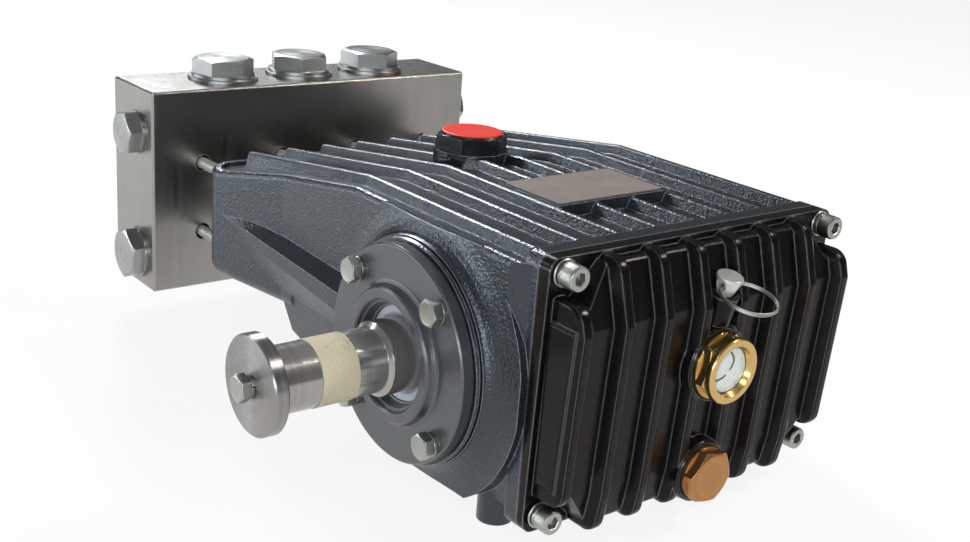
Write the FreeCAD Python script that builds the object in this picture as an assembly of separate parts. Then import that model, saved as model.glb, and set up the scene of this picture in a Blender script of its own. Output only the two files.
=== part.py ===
import FreeCAD, Part
import math
import os
from FreeCAD import Vector

# Plunger pump, millimetres, +Z up, feet on the plane z = 0.
# X runs along the crankshaft, and the drive shaft points to -X.
# Y runs from the ribbed rear cover (-Y) to the pump manifold (+Y).
# The origin is the centre of the four feet on their base plane.
# Sizes along Y and Z are given from the crankshaft axis, which the function at() places.

# Main sizes and general fits
case_half_width = 109.0
case_top = 70.0
sump_floor_z = -69.0
foot_length = 16.0
crank_height = foot_length - sump_floor_z
seat_gap = 0.3
running_gap = 0.05
thread_gap = 0.25

# Crankcase housing
case_rear_y = -81.0
case_bend_y = 74.0
shoulder_y = 150.0
shoulder_z = case_top - 12.2
nose_half_width = case_half_width + 10.5
nose_front_y = 239.0
nose_bottom_z = -27.0
nose_corner_r = 22.0
nose_rim_z = case_top - 24.8
nose_level_y = nose_front_y - nose_corner_r - 2.0
nose_rim_w = 6.0
nose_under_r = 10.0
nose_overlap = 12.0
sump_front_y = shoulder_y
sump_front_z = -43.0
sump_front_slope = 3.0
sump_floor_y = 70.0
sump_half_width = case_half_width - 14.0
flank_break_z = -14.0
roof_edge_r = 3.5

# Rear flange of the crankcase, shared by gasket and cover
flange_half_width = case_half_width - 4.6
flange_top_z = case_top + 6.4
flange_bottom_z = sump_floor_z - 2.0
flange_thickness = 9.0
flange_corner_r = 7.0
flange_neck = 15.0
neck_inset = 1.5

# Lower flank wedge: lip height, crease height and reach at its tip, middle and end
wedge_inner_x = case_half_width - 4.0
wedge_tip_y = 209.0
wedge_mid_y = 154.0
wedge_end_y = 60.0
wedge_tip_x = case_half_width + 9.2
wedge_mid_x = case_half_width + 10.0
wedge_end_x = case_half_width + 10.5
wedge_tip_z = 17.3
wedge_mid_z = 14.9
wedge_end_z = 9.6
wedge_tip_rise = 18.0
wedge_mid_rise = 7.0
wedge_end_rise = 8.7
wedge_tip_band = 0.8
wedge_mid_band = 7.9
wedge_end_band = 11.6

# Bearing bosses, the same on both sides
boss_rise = 10.7
boss_face_x = case_half_width + boss_rise
boss_face_r = 61.0
boss_root_r = 82.0
boss_step = 3.0
bearing_wall = 16.0
bearing_bore_r = boss_face_r - bearing_wall
bearing_bore_depth = 20.0
ring_groove_depth = 1.2
ring_groove_reach = 5.0
ring_groove_width = 1.6

# Longitudinal ribs on top of the crankcase
rib_count = 8
rib_pitch = case_half_width / 3.971
rib_crest_z = case_top + 5.7
rib_front_crest_z = case_top - 13.4
rib_rear_y = -69.0
rib_front_y = 212.5
rib_crest_w = 5.6
rib_base_w = 10.0
rib_round = 1.8
rib_root = 5.0

# Feet
foot_r = 10.0
foot_x = case_half_width - 21.0
foot_rear_y = -46.0
foot_pitch_y = 176.0
foot_thread_r = 4.2
foot_thread_depth = 14.0
foot_rise = 52.0

# Name plate and its pad
plate_length = 78.0
plate_width = 46.0
plate_thickness = 0.8
plate_corner_r = 1.5
plate_y = 2.0
pad_margin = 2.5
pad_root = 3.0
pad_top_z = case_top + 7.0

# Oil filler
filler_y = 107.0
filler_boss_r = 23.5
filler_boss_top_z = case_top + 5.0
filler_boss_root = 12.0
filler_thread_r = 15.0
filler_thread_depth = 14.0
filler_af = 40.0
filler_hex_h = 9.0
filler_dome_h = 1.4
filler_dome_r = 20.5
filler_disc_r = 19.0
filler_disc_h = 0.8

# Rear cover: flange, pan and its crest line from the top bend to the bottom, as y and z
gasket_thickness = 0.5
gasket_rim = 12.0
cover_flange_top_t = 8.0
cover_flange_bottom_t = 5.0
cover_lip_y = case_rear_y - gasket_thickness
crest_top_reach = 20.5
crest_top_rise = 5.6
crest_bend_reach = 30.5
crest_bend_drop = 27.0
crest_low_reach = 26.0
crest_low_rise = 19.0
crest_end_reach = 23.5
crest_end_rise = 4.0
crest_top = (cover_lip_y - crest_top_reach, case_top + crest_top_rise)
crest_bend = (cover_lip_y - crest_bend_reach, case_top - crest_bend_drop)
crest_low = (cover_lip_y - crest_low_reach, sump_floor_z + crest_low_rise)
crest_end = (cover_lip_y - crest_end_reach, sump_floor_z + crest_end_rise)
cover_rib_top_z = case_top + 5.3
cover_rib_bottom_z = sump_floor_z - 3.0
cover_rib_top_r = 10.0
cover_rib_bottom_r = 9.0
cover_rib_h = 6.5
cover_rib_crest_w = 7.0
cover_rib_base_w = 11.0
cover_rib_round = 1.8
floor_end_share = 0.4
floor_round_share = 0.8
outer_rib_top_z = case_top - 13.0
outer_rib_bottom_z = sump_floor_z + 19.0
outer_rib_wall = 4.1

# Front outline of the pan: at the flange and, narrower, at the crests
pan_top_half_width = 2.5 * rib_pitch + cover_rib_base_w / 2
pan_half_width = 3.5 * rib_pitch + 3.5
pan_corner = 18.0
pan_corner_slope = 6.0

# Raised panel on the outer wall of the cover's last ribs
side_panel_t = 2.0
side_panel_edge = 1.5
side_panel_top_z = outer_rib_top_z - 12.0
side_panel_bottom_z = outer_rib_bottom_z + 9.0
side_panel_margin = 4.0

# Cover screw holes, shared by crankcase, gasket and cover
cover_screw_x = flange_half_width - 9.3
cover_screw_top_z = flange_top_z - 7.9
cover_screw_bottom_z = flange_bottom_z + 10.0
cover_screw_hole_r = 4.3
cover_screw_depth = 14.0

# Round bosses of the cover, each with a machined face that also trims the ribs beside it
boss_edge = 1.0
boss_rim = 1.0
spot_depth = 6.0

# Sight glass
sight_z = 10.0
sight_boss_r = 21.0
sight_boss_flare = 2.0
sight_boss_y = crest_bend[0] + 1.5
sight_af = 33.0
sight_collar_r = 18.3
sight_collar_h = 1.5
sight_hex_h = 6.0
sight_hex_turn = 18.0
sight_bezel_r = 17.8
sight_bezel_cone = 1.3
sight_bezel_h = 3.5
sight_bezel_edge = 0.6
sight_mouth_rim = 1.6
sight_window_r = 12.2
sight_recess = 3.0
sight_window_t = 2.0
sight_thread_r = 12.0
sight_thread_depth = 12.0

# Drain plug
drain_z = sump_floor_z + 16.4
drain_boss_r = 17.5
drain_boss_flare = 3.5
drain_boss_y = crest_low[0] - 1.5
drain_af = 27.0
drain_hex_h = 6.2
drain_hex_turn = 50.0
drain_collar_r = 15.0
drain_collar_h = 2.0
drain_thread_r = 8.0
drain_thread_depth = 10.0

# Dipstick, its oblique boss and its pull ring
dip_top_y = cover_lip_y - 29.0
dip_top_z = case_top - 11.0
dip_tilt_deg = 14.0
dip_head_r = 7.1
dip_head_rim = 1.2
dip_neck_r = 4.3
dip_head_len = 10.5
dip_stem_r = 3.5
dip_stem_len = 22.0
dip_boss_r = 8.0
dip_boss_len = 16.0
eye_depth = 4.6
ring_r = 14.9
ring_wire_r = 1.15
ring_gap = 0.35
ring_tilt_deg = 14.0

# Drive side bearing cover, seal and shaft
shim_t = 0.5
cover_edge_step = 1.8
cover_disc_r = boss_face_r - cover_edge_step
cover_disc_t = 7.0
cover_disc_edge = 0.8
hub_r = 37.5
hub_h = 5.6
hub_root = 2.5
hub_bore_r = 30.0
hub_bore_depth = 3.2
hub_cone_r = 27.0
hub_cone_depth = 5.0
spigot_length = 10.0
seal_r = 26.0
seal_width = 7.0
seal_back = 1.0
journal_r = 20.0
shaft_r = 17.5
journal_reach = 22.3
shoulder_x = boss_face_x + journal_reach
shoulder_chamfer = 1.6
drive_end_length = 62.0
shaft_end_x = shoulder_x + drive_end_length
shaft_inner_x = 60.0
cover_bolt_edge = 7.7
cover_bolt_circle_r = cover_disc_r - cover_bolt_edge
cover_bolt_hole_r = 4.3

# Shaft end washer, bolt and tape
washer_r = 26.0
washer_t = 7.9
washer_edge = 0.8
end_bolt_af = 13.0
end_bolt_h = 5.3
end_bolt_ring_t = 2.2
end_bolt_ring_r = 6.4
end_bolt_r = 4.0
end_bolt_depth = 18.0
tape_t = 0.35
tape_width = 22.0
tape_inset = 23.0
tape_outer_x = shaft_end_x - tape_inset
tape_inner_x = tape_outer_x - tape_width

# Manifold block
block_gap = 48.5
block_half_width = case_half_width + 22.0
block_near_y = nose_front_y + block_gap
block_thickness = 61.6
block_bottom_z = sump_floor_z + 9.8
block_top_z = case_top + 12.4
block_edge = 1.2

# Valve plugs on top of the block
valve_pitch = 62.2
valve_y = block_near_y + 31.5
valve_af = 38.0
valve_hex_h = 11.0
valve_dome_h = 1.6
valve_collar_r = 24.8
valve_collar_h = 2.6
valve_step_r = 22.5
valve_step_h = 2.0
valve_thread_r = 17.0
valve_thread_depth = 16.0

# Port plugs on the two sides of the block
port_y = block_near_y + 25.5
outlet_z = block_top_z - 31.9
outlet_af = 27.0
outlet_hex_h = 9.5
outlet_collar_r = 15.0
outlet_collar_h = 2.0
outlet_thread_r = 10.0
outlet_hex_turn = 10.0
inlet_hex_turn = 24.0
inlet_z = block_bottom_z + 22.7
inlet_af = 32.0
inlet_hex_h = 9.0
inlet_collar_r = 18.0
inlet_collar_h = 2.0
inlet_thread_r = 13.0
port_thread_depth = 14.0
port_dome_h = 1.2

# Rods that hold the block on the crankcase, above and below the plungers
plunger_z = 6.0
rod_r = 4.0
rod_x = 1.5 * valve_pitch
rod_top_z = plunger_z + 24.7
rod_bottom_z = plunger_z - 24.9
rod_root = 18.0
rod_hole_r = 5.6
rod_head_r = 6.5
rod_head_h = 8.0
rod_socket_af = 6.0
rod_socket_depth = 4.0

# Packing sleeves between crankcase and block
sleeve_r = 15.0
sleeve_flange_r = 17.5
sleeve_flange_t = 18.0
sleeve_edge = 1.5

os.makedirs("parts", exist_ok=True)


def at(x, y, z):
    """A point given from the crank axis, moved to the frame at the feet."""
    return Vector(x, y - foot_rear_y - foot_pitch_y / 2, z + crank_height)


def face_of(points):
    """A flat face from a closed row of points."""
    return Part.Face(Part.makePolygon(points + [points[0]]))


def side_prism(outline, x0, x1):
    """Extrude a (y, z) outline along X."""
    face = face_of([at(x0, y, z) for y, z in outline])
    return face.extrude(Vector(x1 - x0, 0, 0))


def plan_prism(outline, z0, z1):
    """Extrude an (x, y) outline along Z."""
    face = face_of([at(x, y, z0) for x, y in outline])
    return face.extrude(Vector(0, 0, z1 - z0))


def front_prism(outline, y0, y1):
    """Extrude an (x, z) outline along Y."""
    face = face_of([at(x, y0, z) for x, z in outline])
    return face.extrude(Vector(0, y1 - y0, 0))


def cylinder(radius, start, direction, length):
    """A cylinder from a start point along a direction."""
    return Part.makeCylinder(radius, length, start, direction)


def turned(profile, start, direction):
    """Revolve (distance along the axis, radius) points about an axis."""
    side = Vector(0, 0, 1)
    if abs(direction.dot(side)) > 0.9:
        side = Vector(1, 0, 0)
    across = direction.cross(side)
    across.normalize()
    points = [start + direction * a + across * r for a, r in profile]
    return face_of(points).revolve(start, direction, 360)


def hexagon(across_flats, start, direction, height, turn=0.0):
    """A hexagonal prism with its first corner turned from the cross axis."""
    side = Vector(0, 0, 1)
    if abs(direction.dot(side)) > 0.9:
        side = Vector(1, 0, 0)
    u = direction.cross(side)
    u.normalize()
    v = direction.cross(u)
    corner_r = across_flats / math.sqrt(3)
    points = []
    for k in range(6):
        a = math.radians(turn + 60 * k)
        points.append(start + u * (corner_r * math.cos(a)) + v * (corner_r * math.sin(a)))
    return face_of(points).extrude(direction * height)


def domed_hexagon(across_flats, start, direction, height, dome, turn=0.0):
    """A bolt head: a hexagon whose outer corners are turned off to a cone."""
    prism = hexagon(across_flats, start, direction, height, turn)
    corner_r = across_flats / math.sqrt(3)
    flat_r = across_flats / 2 * 0.94
    slope = (corner_r - flat_r) / dome
    wide_r = corner_r + slope * (height - dome)
    cone = turned([(0, 0), (0, wide_r + dome), (height - dome, corner_r + 0.01), (height, flat_r), (height, 0)],
                  start, direction)
    return prism.common(cone)


def crest_corner(crest_w, corner_r):
    """Rounded corner of a rib crest, as pairs of half width and depth below the crest."""
    steps = 2
    pairs = []
    for k in range(steps + 1):
        a = math.radians(90 * k / steps)
        pairs.append((crest_w / 2 - corner_r * (1 - math.sin(a)), corner_r * (1 - math.cos(a))))
    return pairs


def rib_section(crest_w, base_w, rise, root, corner_r):
    """Cross section of a rib, as pairs of offset and height, with its root sunk in the casting."""
    slope = (base_w - crest_w) / 2 / rise
    half = [(w, rise - depth) for w, depth in crest_corner(crest_w, corner_r)]
    half.append((base_w / 2 + slope * root, -root))
    return [(-w, h) for w, h in reversed(half)] + half


def rounded_plate(half_w, z0, z1, y0, y1, corner_r):
    """A plate across Y with rounded corners."""
    plate = Part.makeBox(2 * half_w, y1 - y0, z1 - z0, at(-half_w, y0, z0))
    edges = [e for e in plate.Edges if abs(e.tangentAt(e.FirstParameter).y) > 0.99]
    return plate.makeFillet(corner_r, edges)


def rib_places():
    """The X places of the ribs on the roof and on the cover."""
    half_span = (rib_count - 1) / 2
    return [(k - half_span) * rib_pitch for k in range(rib_count)]


def bolt_circle_points():
    """Directions of the four bearing cover bolts."""
    return [math.radians(45 + 90 * k) for k in range(4)]


def cover_screw_points():
    """The four screw places of the rear cover."""
    return [(sx * cover_screw_x, z) for sx in (-1, 1) for z in (cover_screw_top_z, cover_screw_bottom_z)]


def foot_places():
    """The four feet, as points on the base plane."""
    return [at(sx * foot_x, y, -crank_height) for sx in (-1, 1) for y in (foot_rear_y, foot_rear_y + foot_pitch_y)]


def rod_columns():
    """The X places of the rods: one beside each plunger."""
    inner = valve_pitch / 2
    return [-rod_x, -inner, inner, rod_x]


def surface_z(y):
    """Height of the crankcase roof between the ribs."""
    if y <= case_bend_y:
        return case_top
    if y <= shoulder_y:
        return case_top + (shoulder_z - case_top) * (y - case_bend_y) / (shoulder_y - case_bend_y)
    fall = (shoulder_z - nose_rim_z) / (nose_level_y - shoulder_y)
    return shoulder_z - fall * (y - shoulder_y)


def crest_z(y):
    """Height of the rib crest."""
    if y <= case_bend_y:
        return rib_crest_z
    return rib_crest_z + (rib_front_crest_z - rib_crest_z) * (y - case_bend_y) / (rib_front_y - case_bend_y)


def mirrored(half):
    """A closed outline from its right half, mirrored about the middle."""
    return half + [(-x, v) for x, v in reversed(half)]


def main_housing():
    """Crank chamber from three crossing profiles, side view, plan and front view. Its upper end lies in the nose."""
    join_y = shoulder_y - nose_overlap / 2
    join_z = nose_bottom_z + nose_under_r
    side = side_prism([(case_rear_y, case_top), (case_bend_y, case_top), (join_y, surface_z(join_y)), (join_y, join_z),
                       (sump_front_y, join_z), (sump_front_y, nose_bottom_z),
                       (sump_front_y - sump_front_slope, sump_front_z), (sump_floor_y, sump_floor_z),
                       (case_rear_y, sump_floor_z)], -case_half_width, case_half_width)
    plan = plan_prism(mirrored([(flange_half_width - neck_inset, case_rear_y),
                                (case_half_width, case_rear_y + flange_neck),
                                (case_half_width, sump_front_y)]), flange_bottom_z, flange_top_z)
    front = front_prism(mirrored([(case_half_width, flange_top_z), (case_half_width, flank_break_z),
                                  (sump_half_width, sump_floor_z)]), case_rear_y, sump_front_y)
    body = side.common(plan).common(front)
    wall_x = case_half_width
    edges = [e for e in body.Edges if all(abs(abs(v.Point.x) - wall_x) < 1e-6 and on_roof(v.Point) for v in e.Vertexes)]
    return body.makeFillet(roof_edge_r, edges)


def on_roof(point):
    """Whether a point of a body lies on the sloping roof or on the level nose rim."""
    y = point.y - at(0, 0, 0).y
    z = point.z - crank_height
    return abs(z - max(surface_z(y), nose_rim_z)) < 1e-6


def nose_plan(inset, rear_y):
    """Plan of the nose: flared sides and round front corners, all moved in by the inset."""
    w = case_half_width - inset
    n = nose_half_width
    f = nose_front_y
    r = nose_corner_r
    z = nose_bottom_z
    bow = r - (r - inset) * math.sqrt(0.5)
    front_corner = at(n - r, f - inset, z)
    far_corner = at(r - n, f - inset, z)
    near_side = at(n - inset, f - r, z)
    far_side = at(inset - n, f - r, z)
    path = [far_side, at(-w, shoulder_y, z), at(-w, rear_y, z), at(w, rear_y, z), at(w, shoulder_y, z), near_side]
    edges = [Part.makeLine(a, b) for a, b in zip(path, path[1:])]
    edges.append(Part.Arc(near_side, at(n - bow, f - bow, z), front_corner).toShape())
    edges.append(Part.makeLine(front_corner, far_corner))
    edges.append(Part.Arc(far_corner, at(bow - n, f - bow, z), far_side).toShape())
    return Part.Face(Part.Wire(edges))


def nose():
    """Plunger end of the housing: flared, with a level rim round a sunken tray and a rounded underside."""
    rise = Vector(0, 0, case_top - nose_bottom_z)
    rear = shoulder_y - nose_overlap
    n = nose_half_width
    body = nose_plan(0.0, rear).extrude(rise)
    body = body.common(side_prism([(rear, surface_z(rear)), (shoulder_y, shoulder_z), (nose_level_y, nose_rim_z),
                                   (nose_front_y, nose_rim_z), (nose_front_y, nose_bottom_z),
                                   (rear, nose_bottom_z)], -n, n))
    low_z = at(0, 0, nose_bottom_z).z
    outline = [e for e in body.Edges if not (abs(e.Vertexes[0].Point.x + e.Vertexes[-1].Point.x) < 1e-6
                                             and e.Vertexes[0].Point.y < at(0, nose_level_y, 0).y + 1e-6)]
    low = [e for e in outline if all(abs(v.Point.z - low_z) < 1e-6 for v in e.Vertexes)]
    high = [e for e in outline if all(on_roof(v.Point) for v in e.Vertexes)]
    body = body.makeFillet(roof_edge_r, high)
    body = body.makeFillet(nose_under_r, [e for e in body.Edges if any(e.isSame(f) for f in low)])
    tray = nose_plan(nose_rim_w, rear).extrude(rise)
    tray = tray.common(side_prism([(rear, case_top), (rear, surface_z(rear)), (shoulder_y, shoulder_z),
                                   (nose_front_y, surface_z(nose_front_y)), (nose_front_y, case_top)], -n, n))
    return body.cut(tray)


def flank_wedge(sx):
    """The stiffening wedge: a loft whose shelf, lip and lower crease grow from the nose to the boss."""
    sections = []
    for y, x, lip_z, rise, band in ((wedge_tip_y, wedge_tip_x, wedge_tip_z, wedge_tip_rise, wedge_tip_band),
                                    (wedge_mid_y, wedge_mid_x, wedge_mid_z, wedge_mid_rise, wedge_mid_band),
                                    (wedge_end_y, wedge_end_x, wedge_end_z, wedge_end_rise, wedge_end_band)):
        points = [at(sx * wedge_inner_x, y, lip_z + rise), at(sx * x, y, lip_z), at(sx * x, y, lip_z - band),
                  at(sx * (case_half_width - 1.0), y, nose_bottom_z + nose_under_r),
                  at(sx * wedge_inner_x, y, nose_bottom_z + nose_under_r)]
        sections.append(Part.makePolygon(points + [points[0]]))
    return Part.makeLoft(sections, True, True)


def bearing_boss(sx):
    """Round boss with a curved flank that grows out of the side of the housing."""
    axis = Vector(sx, 0, 0)
    x_root = case_half_width
    x_inner = x_root - bearing_bore_depth
    profile = [(x_inner, 0), (x_inner, boss_root_r)]
    steps = 7
    run = boss_face_x - boss_step - x_root
    fall = boss_root_r - boss_face_r - 1.0
    for k in range(steps + 1):
        a = math.radians(90 * k / steps)
        profile.append((x_root + run * (1 - math.cos(a)), boss_root_r - fall * math.sin(a)))
    profile.append((boss_face_x, boss_face_r))
    profile.append((boss_face_x, 0))
    boss = turned(profile, at(0, 0, 0), axis)
    limit = Part.makeBox(2 * boss_face_x, 2 * boss_root_r, case_top - sump_floor_z,
                         at(-boss_face_x, case_rear_y, sump_floor_z))
    return boss.common(limit)


def top_rib(x):
    """One longitudinal rib: a loft through its rear, bend, shoulder and front sections."""
    wires = []
    for y in (rib_rear_y, case_bend_y, shoulder_y, rib_front_y):
        rise = crest_z(y) - surface_z(y)
        section = rib_section(rib_crest_w, rib_base_w, rise, rib_root, rib_round)
        points = [at(x + u, y, surface_z(y) + v) for u, v in section]
        wires.append(Part.makePolygon(points + [points[0]]))
    return Part.makeLoft(wires, True, True)


def crankcase():
    """The ribbed housing casting with its bosses, pads, feet and bores."""
    body = main_housing().fuse(nose())
    pieces = [rounded_plate(flange_half_width, flange_bottom_z, flange_top_z, case_rear_y,
                            case_rear_y + flange_thickness, flange_corner_r)]
    for sx in (-1, 1):
        pieces.append(bearing_boss(sx))
        pieces.append(flank_wedge(sx))
    for x in rib_places():
        pieces.append(top_rib(x))
    pad_l = plate_length + 2 * pad_margin
    pad_w = plate_width + 2 * pad_margin
    pieces.append(Part.makeBox(pad_l, pad_w, pad_top_z - case_top + pad_root,
                               at(-pad_l / 2, plate_y - pad_w / 2, case_top - pad_root)))
    filler_root_z = surface_z(filler_y) - filler_boss_root
    pieces.append(cylinder(filler_boss_r, at(0, filler_y, filler_root_z), Vector(0, 0, 1),
                           filler_boss_top_z - filler_root_z))
    for place in foot_places():
        pieces.append(cylinder(foot_r, place, Vector(0, 0, 1), foot_rise))
    body = body.multiFuse(pieces).removeSplitter()
    cuts = []
    for sx in (-1, 1):
        axis = Vector(sx, 0, 0)
        cuts.append(cylinder(bearing_bore_r, at(sx * (boss_face_x - bearing_bore_depth), 0, 0), axis,
                             bearing_bore_depth + 1.0))
        groove = cylinder(boss_face_r + ring_groove_reach, at(sx * (boss_face_x - ring_groove_width * 2), 0, 0), axis,
                          ring_groove_width)
        core = cylinder(boss_face_r - ring_groove_depth, at(sx * (boss_face_x - bearing_bore_depth), 0, 0), axis,
                        2 * bearing_bore_depth)
        cuts.append(groove.cut(core))
        for a in bolt_circle_points():
            cuts.append(cylinder(cover_bolt_hole_r - thread_gap, at(sx * (boss_face_x - bearing_bore_depth),
                                 cover_bolt_circle_r * math.cos(a), cover_bolt_circle_r * math.sin(a)),
                                 axis, bearing_bore_depth + 1.0))
    for place in foot_places():
        cuts.append(cylinder(foot_thread_r, place, Vector(0, 0, 1), foot_thread_depth))
    cuts.append(cylinder(journal_r + running_gap, at(-boss_face_x, 0, 0), Vector(1, 0, 0),
                         boss_face_x - shaft_inner_x + seat_gap))
    for x, z in cover_screw_points():
        cuts.append(cylinder(cover_screw_hole_r - thread_gap, at(x, case_rear_y, z), Vector(0, 1, 0),
                             cover_screw_depth))
    for x in rod_columns():
        for z in (rod_top_z, rod_bottom_z):
            cuts.append(cylinder(rod_r + thread_gap, at(x, nose_front_y - rod_root, z), Vector(0, 1, 0),
                                 rod_root + 1.0))
    cuts.append(cylinder(filler_thread_r + thread_gap, at(0, filler_y, filler_boss_top_z - filler_thread_depth - 1.0),
                         Vector(0, 0, 1), filler_thread_depth + 2.0))
    for cut in cuts:
        body = body.cut(cut)
    return body


def rear_gasket():
    """Thin gasket between crankcase and cover."""
    y1 = case_rear_y
    y0 = cover_lip_y
    plate = rounded_plate(flange_half_width, flange_bottom_z, flange_top_z, y0, y1, flange_corner_r)
    window = rounded_plate(pan_top_half_width, flange_bottom_z + gasket_rim, flange_top_z - gasket_rim, y0, y1,
                           flange_corner_r)
    plate = plate.cut(window)
    for x, z in cover_screw_points():
        plate = plate.cut(cylinder(cover_screw_hole_r, at(x, y0, z), Vector(0, 1, 0), gasket_thickness))
    return plate


def outward(a, b):
    """Unit normal (y, z) of a crest line that runs down from a to b, pointing out of the cover."""
    run = math.hypot(b[0] - a[0], b[1] - a[1])
    return ((b[1] - a[1]) / run, (a[0] - b[0]) / run)


def rib_profile(x, inset, crest, top_z, bottom_z):
    """Side view of a cover rib at one x, moved in by the inset, as a wire with an arc at each end."""
    normals = [outward(a, b) for a, b in zip(crest, crest[1:])]
    corners = []
    for point, n, m in zip(crest[1:], normals, normals[1:]):
        share = inset / (1 + n[0] * m[0] + n[1] * m[1])
        corners.append((point[0] - share * (n[0] + m[0]), point[1] - share * (n[1] + m[1])))
    root_y = cover_lip_y - cover_flange_bottom_t / 2
    arcs = []
    for sign, end_z, big_r, n, point in ((1, top_z, cover_rib_top_r, normals[0], crest[1]),
                                         (-1, bottom_z, cover_rib_bottom_r, normals[-1], crest[-2])):
        z_end = end_z - sign * floor_end_share * inset
        r = big_r - floor_round_share * inset
        cz = z_end - sign * r
        cy = point[0] - (n[1] * (cz - point[1]) + r + inset) / n[0]
        half = (n[0], n[1] + sign)
        size = math.hypot(half[0], half[1])
        arcs.append(((cy, z_end), (cy + r * half[0] / size, cz + r * half[1] / size), (cy + r * n[0], cz + r * n[1])))
    top, low = arcs
    first = [(root_y, top[0][1]), top[0]]
    middle = [top[2]] + corners + [low[2]]
    last = [low[0], (root_y, low[0][1])]
    edges = []
    for row in (first, middle, last):
        edges += [Part.makeLine(at(x, *a), at(x, *b)) for a, b in zip(row, row[1:])]
        if row is first:
            edges.append(Part.Arc(at(x, *top[0]), at(x, *top[1]), at(x, *top[2])).toShape())
        if row is middle:
            edges.append(Part.Arc(at(x, *low[2]), at(x, *low[1]), at(x, *low[0])).toShape())
    edges.append(Part.makeLine(at(x, *last[1]), at(x, *first[0])))
    return Part.Wire(edges)


def cover_rib(x):
    """A full rib of the cover: side views lofted across its width, from base over the crest to base."""
    crest = [crest_top, crest_bend, crest_low, crest_end]
    half = crest_corner(cover_rib_crest_w, cover_rib_round) + [(cover_rib_base_w / 2, cover_rib_h)]
    section = [(-u, inset) for u, inset in reversed(half)] + half
    wires = [rib_profile(x + u, inset, crest, cover_rib_top_z, cover_rib_bottom_z) for u, inset in section]
    return Part.makeLoft(wires, True, True)


def outer_cover_rib(sx):
    """The shortened last rib, whose outer side is an upright wall with a raised panel."""
    x = sx * (rib_count - 1) / 2 * rib_pitch
    crest = [crest_top, crest_bend, crest_low]
    half = crest_corner(cover_rib_crest_w, cover_rib_round)
    section = [(-cover_rib_base_w / 2, cover_rib_h)] + [(-u, inset) for u, inset in reversed(half)] + half
    section.append((outer_rib_wall, 2 * cover_rib_round))
    wires = [rib_profile(x + sx * u, inset, crest, outer_rib_top_z, outer_rib_bottom_z) for u, inset in section]
    rib = Part.makeLoft(wires, True, True)
    wall = abs(x) + outer_rib_wall
    faces = []
    for out, edge in ((-1.0, 0.0), (side_panel_t - side_panel_edge / 2, 0.0), (side_panel_t, side_panel_edge)):
        near = cover_lip_y - cover_flange_top_t - edge
        top = side_panel_top_z - edge
        low = side_panel_bottom_z + edge
        deep = crest_bend[0] + side_panel_margin + edge
        deep_low = crest_low[0] + side_panel_margin + edge
        points = [at(sx * (wall + out), y, z) for y, z in ((near, top), (deep, top), (deep_low, low), (near, low))]
        faces.append(Part.makePolygon(points + [points[0]]))
    return rib.fuse(Part.makeLoft(faces, True, True))


def cover_pan():
    """Pan between the ribs: the floor profile across the cover, inside an outline that tapers at its corners."""
    crest = [crest_top, crest_bend, crest_low, crest_end]
    skin = Part.Face(rib_profile(-pan_half_width, cover_rib_h, crest, cover_rib_top_z, cover_rib_bottom_z))
    skin = skin.extrude(Vector(2 * pan_half_width, 0, 0))
    t = pan_top_half_width
    w = pan_half_width
    rings = []
    for y, in_by in ((cover_lip_y, 0.0), (crest_bend[0], pan_corner_slope)):
        high = outer_rib_top_z - in_by
        low = outer_rib_bottom_z + in_by
        below = cover_rib_bottom_z - cover_rib_h
        shoulder = t + pan_corner - in_by
        outline = mirrored([(t, flange_top_z), (t, high + pan_corner), (shoulder, high), (w, high), (w, low),
                            (shoulder, low), (t, low - pan_corner), (t, below)])
        points = [at(x, y, z) for x, z in outline]
        rings.append(Part.makePolygon(points + [points[0]]))
    return skin.common(Part.makeLoft(rings, True, True))


def cover_boss(r, flare, face_y, z):
    """Round boss of the cover with a flared root and a broken edge."""
    rise = cover_lip_y - face_y
    return turned([(0, 0), (0, r + flare), (rise - boss_edge, r), (rise, r - boss_edge), (rise, 0)],
                  at(0, cover_lip_y, z), Vector(0, -1, 0))


def boss_bores(r, face_y, z, thread_r, thread_depth):
    """Machined face of a cover boss and its threaded bore, as one cutting body."""
    face = cylinder(r - boss_rim, at(0, face_y, z), Vector(0, -1, 0), spot_depth)
    bore = cylinder(thread_r + thread_gap, at(0, face_y - spot_depth, z), Vector(0, 1, 0),
                    spot_depth + thread_depth + 1.0)
    return face.fuse(bore)


def dip_axis():
    """Unit vector up the dipstick, leaning out of the cover."""
    a = math.radians(dip_tilt_deg)
    return Vector(0, -math.sin(a), math.cos(a))


def dip_top():
    """Centre of the dipstick head's top face."""
    return at(0, dip_top_y, dip_top_z)


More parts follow.
